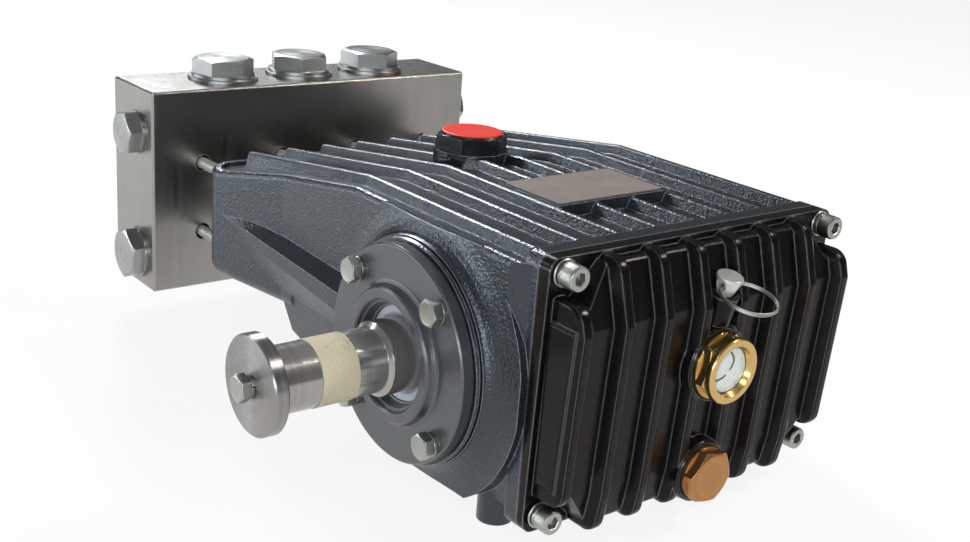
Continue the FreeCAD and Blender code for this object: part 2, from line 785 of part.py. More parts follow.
def rear_cover():
    """The ribbed rear cover casting."""
    y1 = cover_lip_y
    top_y = y1 - cover_flange_top_t
    plate = rounded_plate(flange_half_width, flange_bottom_z, flange_top_z, top_y, y1, flange_corner_r)
    thin = side_prism([(top_y - 1.0, flange_bottom_z), (y1 - cover_flange_bottom_t, flange_bottom_z),
                       (y1 - cover_flange_bottom_t, cover_screw_bottom_z), (top_y, flange_top_z),
                       (top_y - 1.0, flange_top_z)], -flange_half_width, flange_half_width)
    plate = plate.cut(thin)
    pieces = [cover_pan()]
    for x in rib_places()[1:-1]:
        pieces.append(cover_rib(x))
    for sx in (-1, 1):
        pieces.append(outer_cover_rib(sx))
    pieces.append(cover_boss(sight_boss_r, sight_boss_flare, sight_boss_y, sight_z))
    pieces.append(cover_boss(drain_boss_r, drain_boss_flare, drain_boss_y, drain_z))
    down = dip_axis() * -1
    pieces.append(cylinder(dip_boss_r, dip_top() + down * (dip_head_len + seat_gap), down, dip_boss_len))
    body = plate.multiFuse(pieces).removeSplitter()
    body = body.cut(cylinder(dip_stem_r + seat_gap, dip_top() + down * dip_head_len, down,
                             dip_stem_len + seat_gap * 2))
    body = body.cut(boss_bores(sight_boss_r, sight_boss_y, sight_z, sight_thread_r, sight_thread_depth))
    body = body.cut(boss_bores(drain_boss_r, drain_boss_y, drain_z, drain_thread_r, drain_thread_depth))
    for x, z in cover_screw_points():
        body = body.cut(cylinder(cover_screw_hole_r, at(x, top_y - 1.0, z), Vector(0, 1, 0), cover_flange_top_t + 2.0))
    return body


def nameplate():
    """Bare plate on its pad."""
    plate = Part.makeBox(plate_length, plate_width, plate_thickness,
                         at(-plate_length / 2, plate_y - plate_width / 2, pad_top_z))
    edges = [e for e in plate.Edges if abs(e.tangentAt(e.FirstParameter).z) > 0.99]
    return plate.makeFillet(plate_corner_r, edges)


def bearing_shim(sx):
    """Thin shim ring between boss and bearing cover."""
    ring = cylinder(cover_disc_r - 0.6, at(sx * boss_face_x, 0, 0), Vector(sx, 0, 0), shim_t)
    ring = ring.cut(cylinder(bearing_bore_r, at(sx * (boss_face_x - 1), 0, 0), Vector(sx, 0, 0), 4.0))
    for a in bolt_circle_points():
        ring = ring.cut(cylinder(cover_bolt_hole_r, at(sx * (boss_face_x - 1), cover_bolt_circle_r * math.cos(a),
                                 cover_bolt_circle_r * math.sin(a)), Vector(sx, 0, 0), 4.0))
    return ring


def bolt_holes(body, sx, start_x, length):
    """Cut the four cover bolt holes."""
    for a in bolt_circle_points():
        body = body.cut(cylinder(cover_bolt_hole_r, at(sx * start_x, cover_bolt_circle_r * math.cos(a),
                                 cover_bolt_circle_r * math.sin(a)), Vector(sx, 0, 0), length))
    return body


def drive_cover():
    """Turned bearing cover with hub ring, conical mouth and seal bore."""
    f0 = boss_face_x + shim_t
    f1 = f0 + cover_disc_t
    top = f1 + hub_h
    back = f0 - spigot_length
    seal_face = top - hub_cone_depth - hub_bore_depth
    spigot_r = bearing_bore_r - running_gap
    profile = [(back, seal_r - 4.0), (back, spigot_r), (f0, spigot_r), (f0, cover_disc_r),
               (f1 - cover_disc_edge, cover_disc_r), (f1, cover_disc_r - cover_disc_edge),
               (f1, hub_r + hub_root), (f1 + hub_root * 0.3, hub_r + hub_root * 0.3), (f1 + hub_root, hub_r),
               (top - 1.0, hub_r - 0.6), (top, hub_r - 1.8), (top, hub_bore_r + 1.0),
               (top - 1.0, hub_bore_r), (top - hub_bore_depth, hub_bore_r),
               (top - hub_bore_depth, hub_cone_r + 1.5), (seal_face, hub_cone_r), (seal_face, seal_r),
               (seal_face - seal_back - seal_width, seal_r), (seal_face - seal_back - seal_width, seal_r - 4.0)]
    body = turned(profile, at(0, 0, 0), Vector(-1, 0, 0))
    return bolt_holes(body, -1, f0 - 1.0, cover_disc_t + 2.0)


def shaft_oil_seal():
    """Lip seal pressed into the drive cover."""
    top = boss_face_x + shim_t + cover_disc_t + hub_h
    seal_face = top - hub_cone_depth - hub_bore_depth - seal_back
    profile = [(seal_face, journal_r + 2.2), (seal_face, seal_r - 0.4), (seal_face - 0.4, seal_r),
               (seal_face - seal_width, seal_r), (seal_face - seal_width, journal_r + 2.2),
               (seal_face - seal_width + 2.0, journal_r + 2.2), (seal_face - 2.6, journal_r + running_gap),
               (seal_face - 2.0, journal_r + running_gap)]
    return turned(profile, at(0, 0, 0), Vector(-1, 0, 0))


def blind_cover():
    """Closed bearing cover on the far side, with the same flange and a low hub."""
    f0 = boss_face_x + shim_t
    f1 = f0 + cover_disc_t
    back = f0 - spigot_length
    spigot_r = bearing_bore_r - running_gap
    profile = [(back, 0), (back, spigot_r), (f0, spigot_r), (f0, cover_disc_r), (f1 - cover_disc_edge, cover_disc_r),
               (f1, cover_disc_r - cover_disc_edge), (f1, hub_r + hub_root), (f1 + hub_root, hub_r),
               (f1 + hub_root, 0)]
    body = turned(profile, at(0, 0, 0), Vector(1, 0, 0))
    return bolt_holes(body, 1, f0 - 1.0, cover_disc_t + 2.0)


def drive_shaft():
    """Crankshaft end: running journal, shoulder and drive end with a tapped centre."""
    c = shoulder_chamfer
    profile = [(shaft_inner_x, 0), (shaft_inner_x, journal_r - 1), (shaft_inner_x + 1, journal_r),
               (shoulder_x - c, journal_r), (shoulder_x, shaft_r), (shaft_end_x - 1.0, shaft_r),
               (shaft_end_x, shaft_r - 1.0), (shaft_end_x, 0)]
    body = turned(profile, at(0, 0, 0), Vector(-1, 0, 0))
    hole = cylinder(end_bolt_r + thread_gap, at(-shaft_end_x - 1, 0, 0), Vector(1, 0, 0), end_bolt_depth + 2.0)
    return body.cut(hole)


def shaft_tape():
    """Band of paper tape round the drive end."""
    band = cylinder(shaft_r + running_gap + tape_t, at(-tape_outer_x, 0, 0), Vector(1, 0, 0),
                    tape_outer_x - tape_inner_x)
    return band.cut(cylinder(shaft_r + running_gap, at(-tape_outer_x - 1, 0, 0), Vector(1, 0, 0),
                             tape_outer_x - tape_inner_x + 2))


def shaft_end_washer():
    """Thick washer on the shaft end."""
    profile = [(shaft_end_x, end_bolt_r + thread_gap), (shaft_end_x, washer_r - washer_edge),
               (shaft_end_x + washer_edge, washer_r), (shaft_end_x + washer_t - washer_edge, washer_r),
               (shaft_end_x + washer_t, washer_r - washer_edge), (shaft_end_x + washer_t, end_bolt_r + thread_gap)]
    return turned(profile, at(0, 0, 0), Vector(-1, 0, 0))


def shaft_end_bolt():
    """Hexagon bolt with its spring washer, tapped into the shaft end."""
    x0 = shaft_end_x + washer_t
    out = Vector(-1, 0, 0)
    shank = cylinder(end_bolt_r, at(-x0, 0, 0), Vector(1, 0, 0), washer_t + end_bolt_depth)
    ring = cylinder(end_bolt_ring_r, at(-x0, 0, 0), out, end_bolt_ring_t)
    head = domed_hexagon(end_bolt_af, at(-x0 - end_bolt_ring_t, 0, 0), out, end_bolt_h, 0.8, 12.0)
    return shank.fuse(ring).fuse(head)


def manifold():
    """Ground block with bores for plugs and rods."""
    width = 2 * block_half_width
    body = Part.makeBox(width, block_thickness, block_top_z - block_bottom_z,
                        at(-block_half_width, block_near_y, block_bottom_z))
    body = body.makeChamfer(block_edge, body.Edges)
    for k in (-1, 0, 1):
        body = body.cut(cylinder(valve_thread_r + thread_gap,
                                 at(k * valve_pitch, valve_y, block_top_z - valve_thread_depth - 1.0),
                                 Vector(0, 0, 1), valve_thread_depth + 2.0))
    for sx in (-1, 1):
        for z, r in ((outlet_z, outlet_thread_r), (inlet_z, inlet_thread_r)):
            body = body.cut(cylinder(r + thread_gap, at(sx * (block_half_width - port_thread_depth - 1.0), port_y, z),
                                     Vector(sx, 0, 0), port_thread_depth + 2.0))
    for x in rod_columns():
        for z in (rod_top_z, rod_bottom_z):
            body = body.cut(cylinder(rod_hole_r, at(x, block_near_y - 1, z), Vector(0, 1, 0), block_thickness + 2))
    return body


def valve_plug(x, turn):
    """Domed hexagon plug on a stepped collar."""
    up = Vector(0, 0, 1)
    base = at(x, valve_y, block_top_z)
    collar = turned([(-valve_thread_depth, 0), (-valve_thread_depth, valve_thread_r), (0, valve_thread_r),
                     (0, valve_collar_r), (valve_collar_h - 0.5, valve_collar_r),
                     (valve_collar_h, valve_collar_r - 0.5), (valve_collar_h, valve_step_r),
                     (valve_collar_h + valve_step_h, valve_step_r), (valve_collar_h + valve_step_h, 0)], base, up)
    head = domed_hexagon(valve_af, base + up * (valve_collar_h + valve_step_h), up, valve_hex_h, valve_dome_h, turn)
    return collar.fuse(head)


def port_plug(sx, z, across_flats, hex_h, collar_r, collar_h, thread_r, turn):
    """Side plug with a thin collar."""
    out = Vector(sx, 0, 0)
    base = at(sx * block_half_width, port_y, z)
    collar = turned([(-port_thread_depth, 0), (-port_thread_depth, thread_r), (0, thread_r), (0, collar_r),
                     (collar_h, collar_r), (collar_h, 0)], base, out)
    head = domed_hexagon(across_flats, base + out * collar_h, out, hex_h, port_dome_h, turn)
    return collar.fuse(head)


def rods(z):
    """One row of long socket screws that hold the block."""
    screws = []
    back_y = block_near_y + block_thickness
    for x in rod_columns():
        start = at(x, nose_front_y - rod_root + 1.0, z)
        length = back_y - (nose_front_y - rod_root + 1.0)
        shank = cylinder(rod_r, start, Vector(0, 1, 0), length + 1.0)
        head = cylinder(rod_head_r, at(x, back_y, z), Vector(0, 1, 0), rod_head_h)
        socket = hexagon(rod_socket_af, at(x, back_y + rod_head_h - rod_socket_depth, z), Vector(0, 1, 0),
                         rod_socket_depth + 1.0)
        screws.append(shank.fuse(head).cut(socket))
    return Part.makeCompound(screws)


def packing_sleeve(x):
    """Packing sleeve seated on the crankcase nose and on the block."""
    length = block_near_y - nose_front_y
    profile = [(0, 0), (0, sleeve_r), (length - sleeve_flange_t, sleeve_r),
               (length - sleeve_flange_t, sleeve_flange_r - sleeve_edge),
               (length - sleeve_flange_t + sleeve_edge, sleeve_flange_r), (length, sleeve_flange_r), (length, 0)]
    return turned(profile, at(x, nose_front_y, plunger_z), Vector(0, 1, 0))


def filler_cap():
    """Hexagon filler cap with a vent hole and a seat for the coloured disc."""
    up = Vector(0, 0, 1)
    base = at(0, filler_y, filler_boss_top_z)
    shank = cylinder(filler_thread_r, base - up * filler_thread_depth, up, filler_thread_depth)
    head = hexagon(filler_af, base, up, filler_hex_h, 8.0)
    dome = turned([(filler_hex_h, 0), (filler_hex_h, filler_dome_r - 0.6),
                   (filler_hex_h + filler_dome_h, filler_disc_r), (filler_hex_h + filler_dome_h, 0)], base, up)
    return shank.fuse(head).fuse(dome)


def filler_disc():
    """Plain disc on the filler cap."""
    up = Vector(0, 0, 1)
    base = at(0, filler_y, filler_boss_top_z + filler_hex_h + filler_dome_h)
    return turned([(0, 0), (0, filler_disc_r), (filler_disc_h * 0.5, filler_disc_r),
                   (filler_disc_h, filler_disc_r - 0.8), (filler_disc_h, 0)], base, up)


def sight_body():
    """Brass sight glass fitting: thread, round collar, hexagon and a bezel round a conical mouth."""
    out = Vector(0, -1, 0)
    base = at(0, sight_boss_y, sight_z)
    hex_top = sight_collar_h + sight_hex_h
    top = hex_top + sight_bezel_h
    shank = cylinder(sight_thread_r, base - out * sight_thread_depth, out, sight_thread_depth)
    collar = cylinder(sight_collar_r, base, out, sight_collar_h)
    nut = domed_hexagon(sight_af, base, out, hex_top, sight_bezel_cone, sight_hex_turn)
    bezel = turned([(0, 0), (0, sight_thread_r), (hex_top - sight_bezel_cone, sight_af / 2 - sight_bezel_cone),
                    (hex_top, sight_bezel_r), (top - sight_bezel_edge, sight_bezel_r),
                    (top, sight_bezel_r - sight_bezel_edge), (top, 0)], base, out)
    body = shank.fuse(collar).fuse(nut).fuse(bezel)
    seat_r = sight_window_r + running_gap
    mouth_r = seat_r + sight_mouth_rim
    mouth = turned([(top - sight_recess - sight_window_t, 0), (top - sight_recess - sight_window_t, seat_r),
                    (top - sight_recess, seat_r), (top, mouth_r), (top + 1.0, mouth_r), (top + 1.0, 0)], base, out)
    return body.cut(mouth)


def sight_window():
    """Round window in the fitting."""
    out = Vector(0, -1, 0)
    start = sight_collar_h + sight_hex_h + sight_bezel_h - sight_recess - sight_window_t
    return cylinder(sight_window_r, at(0, sight_boss_y, sight_z) + out * start, out, sight_window_t)


def drain_plug():
    """Brass drain plug with a collar."""
    out = Vector(0, -1, 0)
    base = at(0, drain_boss_y, drain_z)
    collar = turned([(-drain_thread_depth, 0), (-drain_thread_depth, drain_thread_r), (0, drain_thread_r),
                     (0, drain_collar_r), (drain_collar_h, drain_collar_r), (drain_collar_h, 0)], base, out)
    head = domed_hexagon(drain_af, base + out * drain_collar_h, out, drain_hex_h, port_dome_h, drain_hex_turn)
    return collar.fuse(head)


def dipstick():
    """Mushroom head, conical neck with an eye for the ring, and the stem."""
    down = dip_axis() * -1
    body = turned([(0, 0), (0, dip_head_r - 0.5), (0.5, dip_head_r), (dip_head_rim, dip_head_r),
                   (dip_head_len, dip_neck_r), (dip_head_len, dip_stem_r), (dip_head_len + dip_stem_len, dip_stem_r),
                   (dip_head_len + dip_stem_len, 0)], dip_top(), down)
    eye_r = ring_wire_r + ring_gap + dip_head_r ** 2 / (2 * ring_r)
    side = Vector(1, 0, 0)
    eye = cylinder(eye_r, dip_top() + down * eye_depth - side * dip_head_r, side, 2 * dip_head_r)
    return body.cut(eye)


def pull_ring():
    """Split ring through the eye, leaning out over the sight glass."""
    eye = dip_top() - dip_axis() * eye_depth
    a = math.radians(ring_tilt_deg)
    out = Vector(0, -math.cos(a), -math.sin(a))
    normal = Vector(0, -math.sin(a), math.cos(a))
    return Part.makeTorus(ring_r, ring_wire_r, eye + out * ring_r, normal)


def save(shape, name):
    """Write one node."""
    shape.exportStep("parts/" + name + ".step")


save(crankcase(), "crankcase")
save(rear_cover(), "rear_cover")
save(rear_gasket(), "rear_gasket")
save(nameplate(), "nameplate")
save(drive_cover(), "drive_bearing_cover")
save(bearing_shim(-1), "drive_cover_shim")
save(shaft_oil_seal(), "shaft_oil_seal")
save(blind_cover(), "blind_bearing_cover")
save(bearing_shim(1), "blind_cover_shim")
save(drive_shaft(), "drive_shaft")
save(shaft_tape(), "shaft_tape")
save(shaft_end_washer(), "shaft_end_washer")
save(shaft_end_bolt(), "shaft_end_bolt")
save(manifold(), "manifold")
for number, place, turn in ((1, -1, 12.0), (2, 0, 35.0), (3, 1, 4.0)):
    save(valve_plug(place * valve_pitch, turn), "valve_plug_" + str(number))
for side, sx in (("left", -1), ("right", 1)):
    save(port_plug(sx, outlet_z, outlet_af, outlet_hex_h, outlet_collar_r, outlet_collar_h, outlet_thread_r,
                   outlet_hex_turn), "upper_port_plug_" + side)
    save(port_plug(sx, inlet_z, inlet_af, inlet_hex_h, inlet_collar_r, inlet_collar_h, inlet_thread_r,
                   inlet_hex_turn), "lower_port_plug_" + side)
save(rods(rod_top_z), "upper_rods")
save(rods(rod_bottom_z), "lower_rods")
for number, place in ((1, -1), (2, 0), (3, 1)):
    save(packing_sleeve(place * valve_pitch), "packing_sleeve_" + str(number))
save(filler_cap(), "oil_filler_cap")
save(filler_disc(), "filler_cap_disc")
save(sight_body(), "sight_glass_body")
save(sight_window(), "sight_glass_window")
save(drain_plug(), "drain_plug")
save(dipstick(), "dipstick")
save(pull_ring(), "pull_ring")
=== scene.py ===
# Looks of a three-plunger pump.
# Metres, +Z up, feet on z = 0, drive shaft towards -X, rear cover towards -Y.

import bpy
import numpy as np
from mathutils import Matrix, Vector


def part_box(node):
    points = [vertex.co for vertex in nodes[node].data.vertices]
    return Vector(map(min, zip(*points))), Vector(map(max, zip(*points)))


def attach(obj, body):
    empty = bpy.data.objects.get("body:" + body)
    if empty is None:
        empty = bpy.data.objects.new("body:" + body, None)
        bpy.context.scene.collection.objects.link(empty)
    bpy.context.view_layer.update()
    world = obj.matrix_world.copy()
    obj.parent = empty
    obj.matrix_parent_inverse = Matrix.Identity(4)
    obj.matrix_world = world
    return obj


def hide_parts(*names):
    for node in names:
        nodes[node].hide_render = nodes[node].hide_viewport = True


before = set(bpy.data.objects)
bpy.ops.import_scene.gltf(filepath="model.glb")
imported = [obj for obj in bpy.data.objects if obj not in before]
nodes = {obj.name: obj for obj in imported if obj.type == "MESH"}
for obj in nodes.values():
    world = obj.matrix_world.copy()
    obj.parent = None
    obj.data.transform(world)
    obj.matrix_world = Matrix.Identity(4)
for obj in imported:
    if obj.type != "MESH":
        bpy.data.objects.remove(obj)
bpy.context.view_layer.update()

# Places and sizes of the pump that the pieces below stand on
crank_y = -0.042
crank_z = 0.085
bearing_face_x = 0.1272
bearing_bolt_circle_r = 0.0515
cover_screw_x = 0.0951
cover_screw_top_z = 0.1535
cover_screw_low_z = 0.0240
cover_flange_top_y = -0.1315
cover_flange_low_y = -0.1297
shaft_r = 0.0175
shaft_end_x = -0.2119
tape_x0 = -0.1810
tape_x1 = -0.1590
ring_r = 0.0149
ring_wire_r = 0.00056
ring_tilt = np.radians(14.0)
eye = np.array([0.0, -0.151387, 0.139537])
sight_axis_z = 0.095
sight_back_y = -0.1585
sight_window_r = 0.0122

# M8 hexagon bolts: width over flats, head heights, and how far a head stands off the face on its washer
hexagon_across = 0.013
bolt_head_height = 0.0055
bolt_head_lift = 0.0023
end_bolt_height = 0.0053
end_bolt_lift = 0.0022

# Socket screws of the rear cover: (head radius, head height, socket over flats, socket depth), and the lifts
screw_head = (0.0065, 0.0080, 0.0060, 0.0040)
screw_head_lift = 0.0034
screw_spring_lift = 0.0014

# Split washers: (radius of the middle, width, thickness)
bearing_spring = (0.0054, 0.0026, 0.0020)
screw_spring = (0.0052, 0.0022, 0.0018)
end_bolt_spring = (0.0050, 0.0026, 0.0019)

# Flat washer under a socket screw: (outer radius, inner radius, thickness)
screw_washer = (0.0074, 0.0042, 0.0012)

toward_drive = (-1.0, 0.0, 0.0)
toward_rear = (0.0, -1.0, 0.0)


# Surfaces from arrays


def closed_mesh(parts):
    """Join (points, faces) parts into one mesh. Each part is wound outwards by the sign of its volume."""
    points, faces, start = [], [], 0
    for p, f in parts:
        a, b, c = p[f[:, 0]], p[f[:, 1]], p[f[:, 2]]
        d = p[f[:, 3]]
        volume = np.einsum("ij,ij->", a, np.cross(b, c)) + np.einsum("ij,ij->", a, np.cross(c, d))
        if volume < 0:
            f = f[:, ::-1]
        points.append(p)
        faces.append(f + start)
        start += len(p)
    return np.concatenate(points), np.concatenate(faces)


def weld(points, faces):
    """Merge points that agree to a tenth of a micrometre, and make quads that lose a corner triangles."""
    key = np.round(points * 1e7).astype(np.int64)
    _, first, inverse = np.unique(key, axis=0, return_index=True, return_inverse=True)
    faces = inverse.reshape(-1)[faces]
    same = faces == np.roll(faces, -1, axis=1)
    quads = faces[same.sum(1) == 0]
    rest = faces[same.sum(1) == 1]
    drop = np.argmax(same[same.sum(1) == 1], axis=1)
    keep = (drop[:, None] + np.arange(1, 4)) % 4
    return points[first], quads, np.take_along_axis(rest, keep, axis=1)


def grid(points, wrap_u=False):
    """Quads over a (u, v) grid of points, closed round in v, and in u where asked."""
    nu, nv = points.shape[:2]
    u = np.arange(nu if wrap_u else nu - 1)
    uu, vv = np.meshgrid(u, np.arange(nv), indexing="ij")
    u1, v1 = (uu + 1) % nu, (vv + 1) % nv
    faces = np.stack([uu * nv + vv, u1 * nv + vv, u1 * nv + v1, uu * nv + v1], axis=-1)
    return points.reshape(-1, 3), faces.reshape(-1, 4)


def add_piece(name, parts, body, material, smooth_deg):
    """Make a mesh object from grid parts, ride it on its body, and give it its material."""
    points, faces = closed_mesh(parts)
    points, quads, triangles = weld(points, faces)
    mesh = bpy.data.meshes.new(name)
    mesh.from_pydata(points.tolist(), [], quads.tolist() + triangles.tolist())
    mesh.polygons.foreach_set("use_smooth", np.ones(len(mesh.polygons), dtype=bool))
    mesh.set_sharp_from_angle(angle=np.radians(smooth_deg))
    mesh.update()
    piece = bpy.data.objects.new(name, mesh)
    bpy.context.scene.collection.objects.link(piece)
    piece.data.materials.append(material)
    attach(piece, body)
    return piece


def frame_of(direction, turn):
    """Two unit vectors across a direction, turned about it."""
    d = np.array(direction, float)
    side = np.array([0.0, 0.0, 1.0]) if abs(d[2]) < 0.9 else np.array([1.0, 0.0, 0.0])
    u = np.cross(d, side)
    u /= np.linalg.norm(u)
    v = np.cross(d, u)
    c, s = np.cos(turn), np.sin(turn)
    return u * c + v * s, v * c - u * s


def placed(along, radius, angle, start, direction, turn=0.0):
    """Cylinder coordinates set on an axis: start + along * direction + radius * (cos, sin) across it."""
    u, v = frame_of(direction, turn)
    d = np.array(direction, float)
    return (np.array(start) + along[..., None] * d + (radius * np.cos(angle))[..., None] * u
            + (radius * np.sin(angle))[..., None] * v)


def turned(profile, start, direction, segments=96):
    """A profile of (distance, radius) pairs carried once round its axis."""
    p = np.array(profile)
    a = np.linspace(0, 2 * np.pi, segments, endpoint=False)
    aa = np.broadcast_to(a, (len(p), segments))
    return grid(placed(np.broadcast_to(p[:, :1], aa.shape), np.broadcast_to(p[:, 1:], aa.shape), aa,
                       start, direction))


def flat_to_flat(angle, across):
    """Radius of a regular hexagon at each angle: half the width over flats, divided by the cosine of the
    angle from the nearest flat's middle."""
    near = (angle + np.pi / 6) % (np.pi / 3) - np.pi / 6
    return across / 2 / np.cos(near)


def carried_round(rows, a, start, direction, turn):
    """Rows of (distance along the axis, radius), each an array over the angles a, joined into one surface."""
    along = np.stack([r[0] for r in rows])
    radius = np.stack([r[1] for r in rows])
    return grid(placed(along, radius, np.broadcast_to(a, radius.shape), start, direction, turn))


def hexagon_head(across, height, start, direction, turn, segments=120):
    """Bolt head: at each angle the side stands at the hexagon's radius, up to a 28 degree cone that trims the
    corners, and the top is a shallow dished disc."""
    a = np.linspace(0, 2 * np.pi, segments, endpoint=False)
    corner = np.minimum(flat_to_flat(a, across), across / 2 * 1.142)
    flat_r = across / 2 * 0.93
    side_top = height - (corner - flat_r) * np.tan(np.radians(28))
    zero = np.zeros_like(a)
    top = zero + height
    rows = [(zero, zero), (zero, corner * 0.97), (zero + 0.0003, corner), (side_top - 0.0002, corner),
            (side_top, corner * 0.995), (top - 0.00015, zero + flat_r + 0.0002),
            (top, zero + flat_r - 0.0001), (top - 0.0002, zero + flat_r * 0.84), (top - 0.0002, zero)]
    return carried_round(rows, a, start, direction, turn)


def spring_ring(radius, width, thickness, start, direction, turn, rise=0.0005, steps=72):
    """Split washer: a rectangle with cut corners carried along one turn of a low helix, drawn to a point at
    its two ends."""
    w, t, c = width / 2, thickness / 2, 0.0002
    section = np.array([(-w, -t + c), (-w + c, -t), (w - c, -t), (w, -t + c),
                        (w, t - c), (w - c, t), (-w + c, t), (-w, t - c)])
    a = np.linspace(0.05, 2 * np.pi - 0.05, steps)
    a = np.concatenate([a[:1], a, a[-1:]])
    scale = np.ones(len(a))
    scale[0] = scale[-1] = 0.0
    lift = rise * (a / (2 * np.pi) - 0.5)
    along = thickness / 2 + lift[:, None] + scale[:, None] * section[None, :, 1]
    across = radius + scale[:, None] * section[None, :, 0]
    return grid(placed(along, across, np.broadcast_to(a[:, None], across.shape), start, direction, turn))


def socket_head(radius, height, socket, depth, start, direction, turn, segments=288):
    """Socket screw head: a wall whose radius follows a cosine of 48 waves as a knurl, a rounded rim, and a
    hexagonal well with a drilled floor."""
    a = np.linspace(0, 2 * np.pi, segments, endpoint=False)
    zero = np.zeros_like(a)
    knurl = radius - 0.00011 * (0.5 + 0.5 * np.cos(48 * a))
    well = flat_to_flat(a, socket)
    rim, top, floor = zero + radius, zero + height, zero + height - depth
    rows = [(zero, zero), (zero, rim - 0.0005), (zero + 0.0004, rim - 0.0001), (zero + 0.0010, knurl),
            (top - 0.0014, knurl), (top - 0.0009, rim - 0.0001), (top - 0.0003, rim - 0.0003),
            (top, rim - 0.0008), (top, np.maximum(well + 0.0003, well * 1.02)), (top - 0.0004, well),
            (floor, well), (floor, well * 0.8), (floor - 0.0012, zero)]
    return carried_round(rows, a, start, direction, turn)


def flat_washer(outer, inner, thickness, start, direction):
    """Washer: a thin rectangle with a stamped round edge, turned about the screw."""
    e = 0.0002
    profile = [(0, inner), (0, outer - e), (e, outer), (thickness - 2 * e, outer),
               (thickness, outer - 2 * e), (thickness, inner), (0, inner)]
    return turned(profile, start, direction, 72)


def tube(path, radius, sides=14):
    """A round section carried along a path, with frames from the path's own tangent and its ends closed."""
    tangent = np.gradient(path, axis=0)
    tangent /= np.linalg.norm(tangent, axis=1, keepdims=True)
    side = np.cross(tangent, np.array([0.31, 0.12, 0.94]))
    side /= np.linalg.norm(side, axis=1, keepdims=True)
    up = np.cross(tangent, side)
    a = np.linspace(0, 2 * np.pi, sides, endpoint=False)
    r = np.full(len(path), radius)
    centre = np.concatenate([path[:1], path, path[-1:]])
    side = np.concatenate([side[:1], side, side[-1:]])
    up = np.concatenate([up[:1], up, up[-1:]])
    r = np.concatenate([[0.0], r, [0.0]])
    ring = np.cos(a)[None, :, None] * side[:, None] + np.sin(a)[None, :, None] * up[:, None]
    return grid(centre[:, None] + r[:, None, None] * ring)


# Shader node groups

VECTOR = "NodeSocketVector"
VALUE = "NodeSocketFloat"


def new_group(name, inputs, outputs):
    """A shader node group with its inputs as (name, kind, default) rows and outputs as (name, kind) rows."""
    group = bpy.data.node_groups.new(name, "ShaderNodeTree")
    for label, kind, default in inputs:
        socket = group.interface.new_socket(label, in_out="INPUT", socket_type=kind)
        if default is not None:
            socket.default_value = default
    for label, kind in outputs:
        group.interface.new_socket(label, in_out="OUTPUT", socket_type=kind)
    start = group.nodes.new("NodeGroupInput")
    end = group.nodes.new("NodeGroupOutput")
    return group, start, end


def feed(tree, socket, value):
    """Link an input where the value is a socket, or give it the plain value."""
    if isinstance(value, bpy.types.NodeSocket):
        tree.links.new(value, socket)
    else:
        socket.default_value = value


def node(tree, kind, inputs=(), **settings):
    """Add a node with its properties set and its inputs fed from (input, value) pairs."""
    made = tree.nodes.new(kind)
    for key, value in settings.items():
        setattr(made, key, value)
    for target, value in inputs:
        feed(tree, made.inputs[target], value)
    return made


def maths(tree, operation, a, b):
    """A Math node on sockets or numbers."""
    return node(tree, "ShaderNodeMath", [(0, a), (1, b)], operation=operation).outputs[0]


def stepped(tree, value, low, high):
    """A smooth step of a value between two limits."""
    return node(tree, "ShaderNodeMapRange", [(0, value), (1, low), (2, high)],
                interpolation_type="SMOOTHSTEP").outputs[0]


def noise(tree, vector, scale, detail):
    """A noise texture's value, about one half on average."""
    return node(tree, "ShaderNodeTexNoise",
                [("Vector", vector), ("Scale", scale), ("Detail", detail)]).outputs[0]


def cast_grain_group():
    """Sand cast skin: fine noise and rounded pits for the height, with sparse specks and broad patches as
    masks. The specks place the painted glints of the black castings."""
    g, i, o = new_group("cast_grain",
                        [("Vector", VECTOR, None), ("Grain Size", VALUE, 0.0009),
                         ("Speck Amount", VALUE, 0.3)],
                        [("Height", VALUE), ("Specks", VALUE), ("Patches", VALUE)])
    where = i.outputs["Vector"]
    scale = maths(g, "DIVIDE", 1.0, i.outputs["Grain Size"])
    fine = noise(g, where, scale, 1.0)
    pits = node(g, "ShaderNodeTexVoronoi", [("Vector", where), ("Scale", maths(g, "MULTIPLY", scale, 0.8))],
                feature="SMOOTH_F1").outputs["Distance"]
    patches = noise(g, where, 38.0, 3.0)
    height = maths(g, "ADD", maths(g, "MULTIPLY", fine, 0.65), maths(g, "MULTIPLY", pits, 0.5))
    sparse = noise(g, where, maths(g, "MULTIPLY", scale, 0.9), 1.0)
    limit = maths(g, "SUBTRACT", 0.78, maths(g, "MULTIPLY", i.outputs["Speck Amount"], 0.2))
    specks = stepped(g, sparse, limit, maths(g, "ADD", limit, 0.06))
    g.links.new(height, o.inputs["Height"])
    g.links.new(specks, o.inputs["Specks"])
    g.links.new(patches, o.inputs["Patches"])
    return g


def edge_group():
    """Rounded normal at edges, and a ragged mask of the edges from how far it turns from the face. The
    materials paint lighter edges through this mask: painted highlights, and on the black castings also worn
    paint.
    """
    g, i, o = new_group("edges_worn_and_highlit",
                        [("Vector", VECTOR, None), ("Radius", VALUE, 0.0015), ("Roughen", VALUE, 0.5)],
                        [("Normal", VECTOR), ("Edge", VALUE)])
    rounded = node(g, "ShaderNodeBevel", [("Radius", i.outputs["Radius"])], samples=6).outputs[0]
    face = node(g, "ShaderNodeNewGeometry").outputs["Normal"]
    dot = node(g, "ShaderNodeVectorMath", [(0, rounded), (1, face)], operation="DOT_PRODUCT").outputs["Value"]
    turned_by = maths(g, "SUBTRACT", 1.0, dot)
    speckle = noise(g, i.outputs["Vector"], 900.0, 2.0)
    ragged = maths(g, "MULTIPLY", maths(g, "SUBTRACT", speckle, 0.5), i.outputs["Roughen"])
    edge = stepped(g, maths(g, "ADD", turned_by, maths(g, "MULTIPLY", ragged, 0.35)), 0.04, 0.16)
    g.links.new(rounded, o.inputs["Normal"])
    g.links.new(edge, o.inputs["Edge"])
    return g


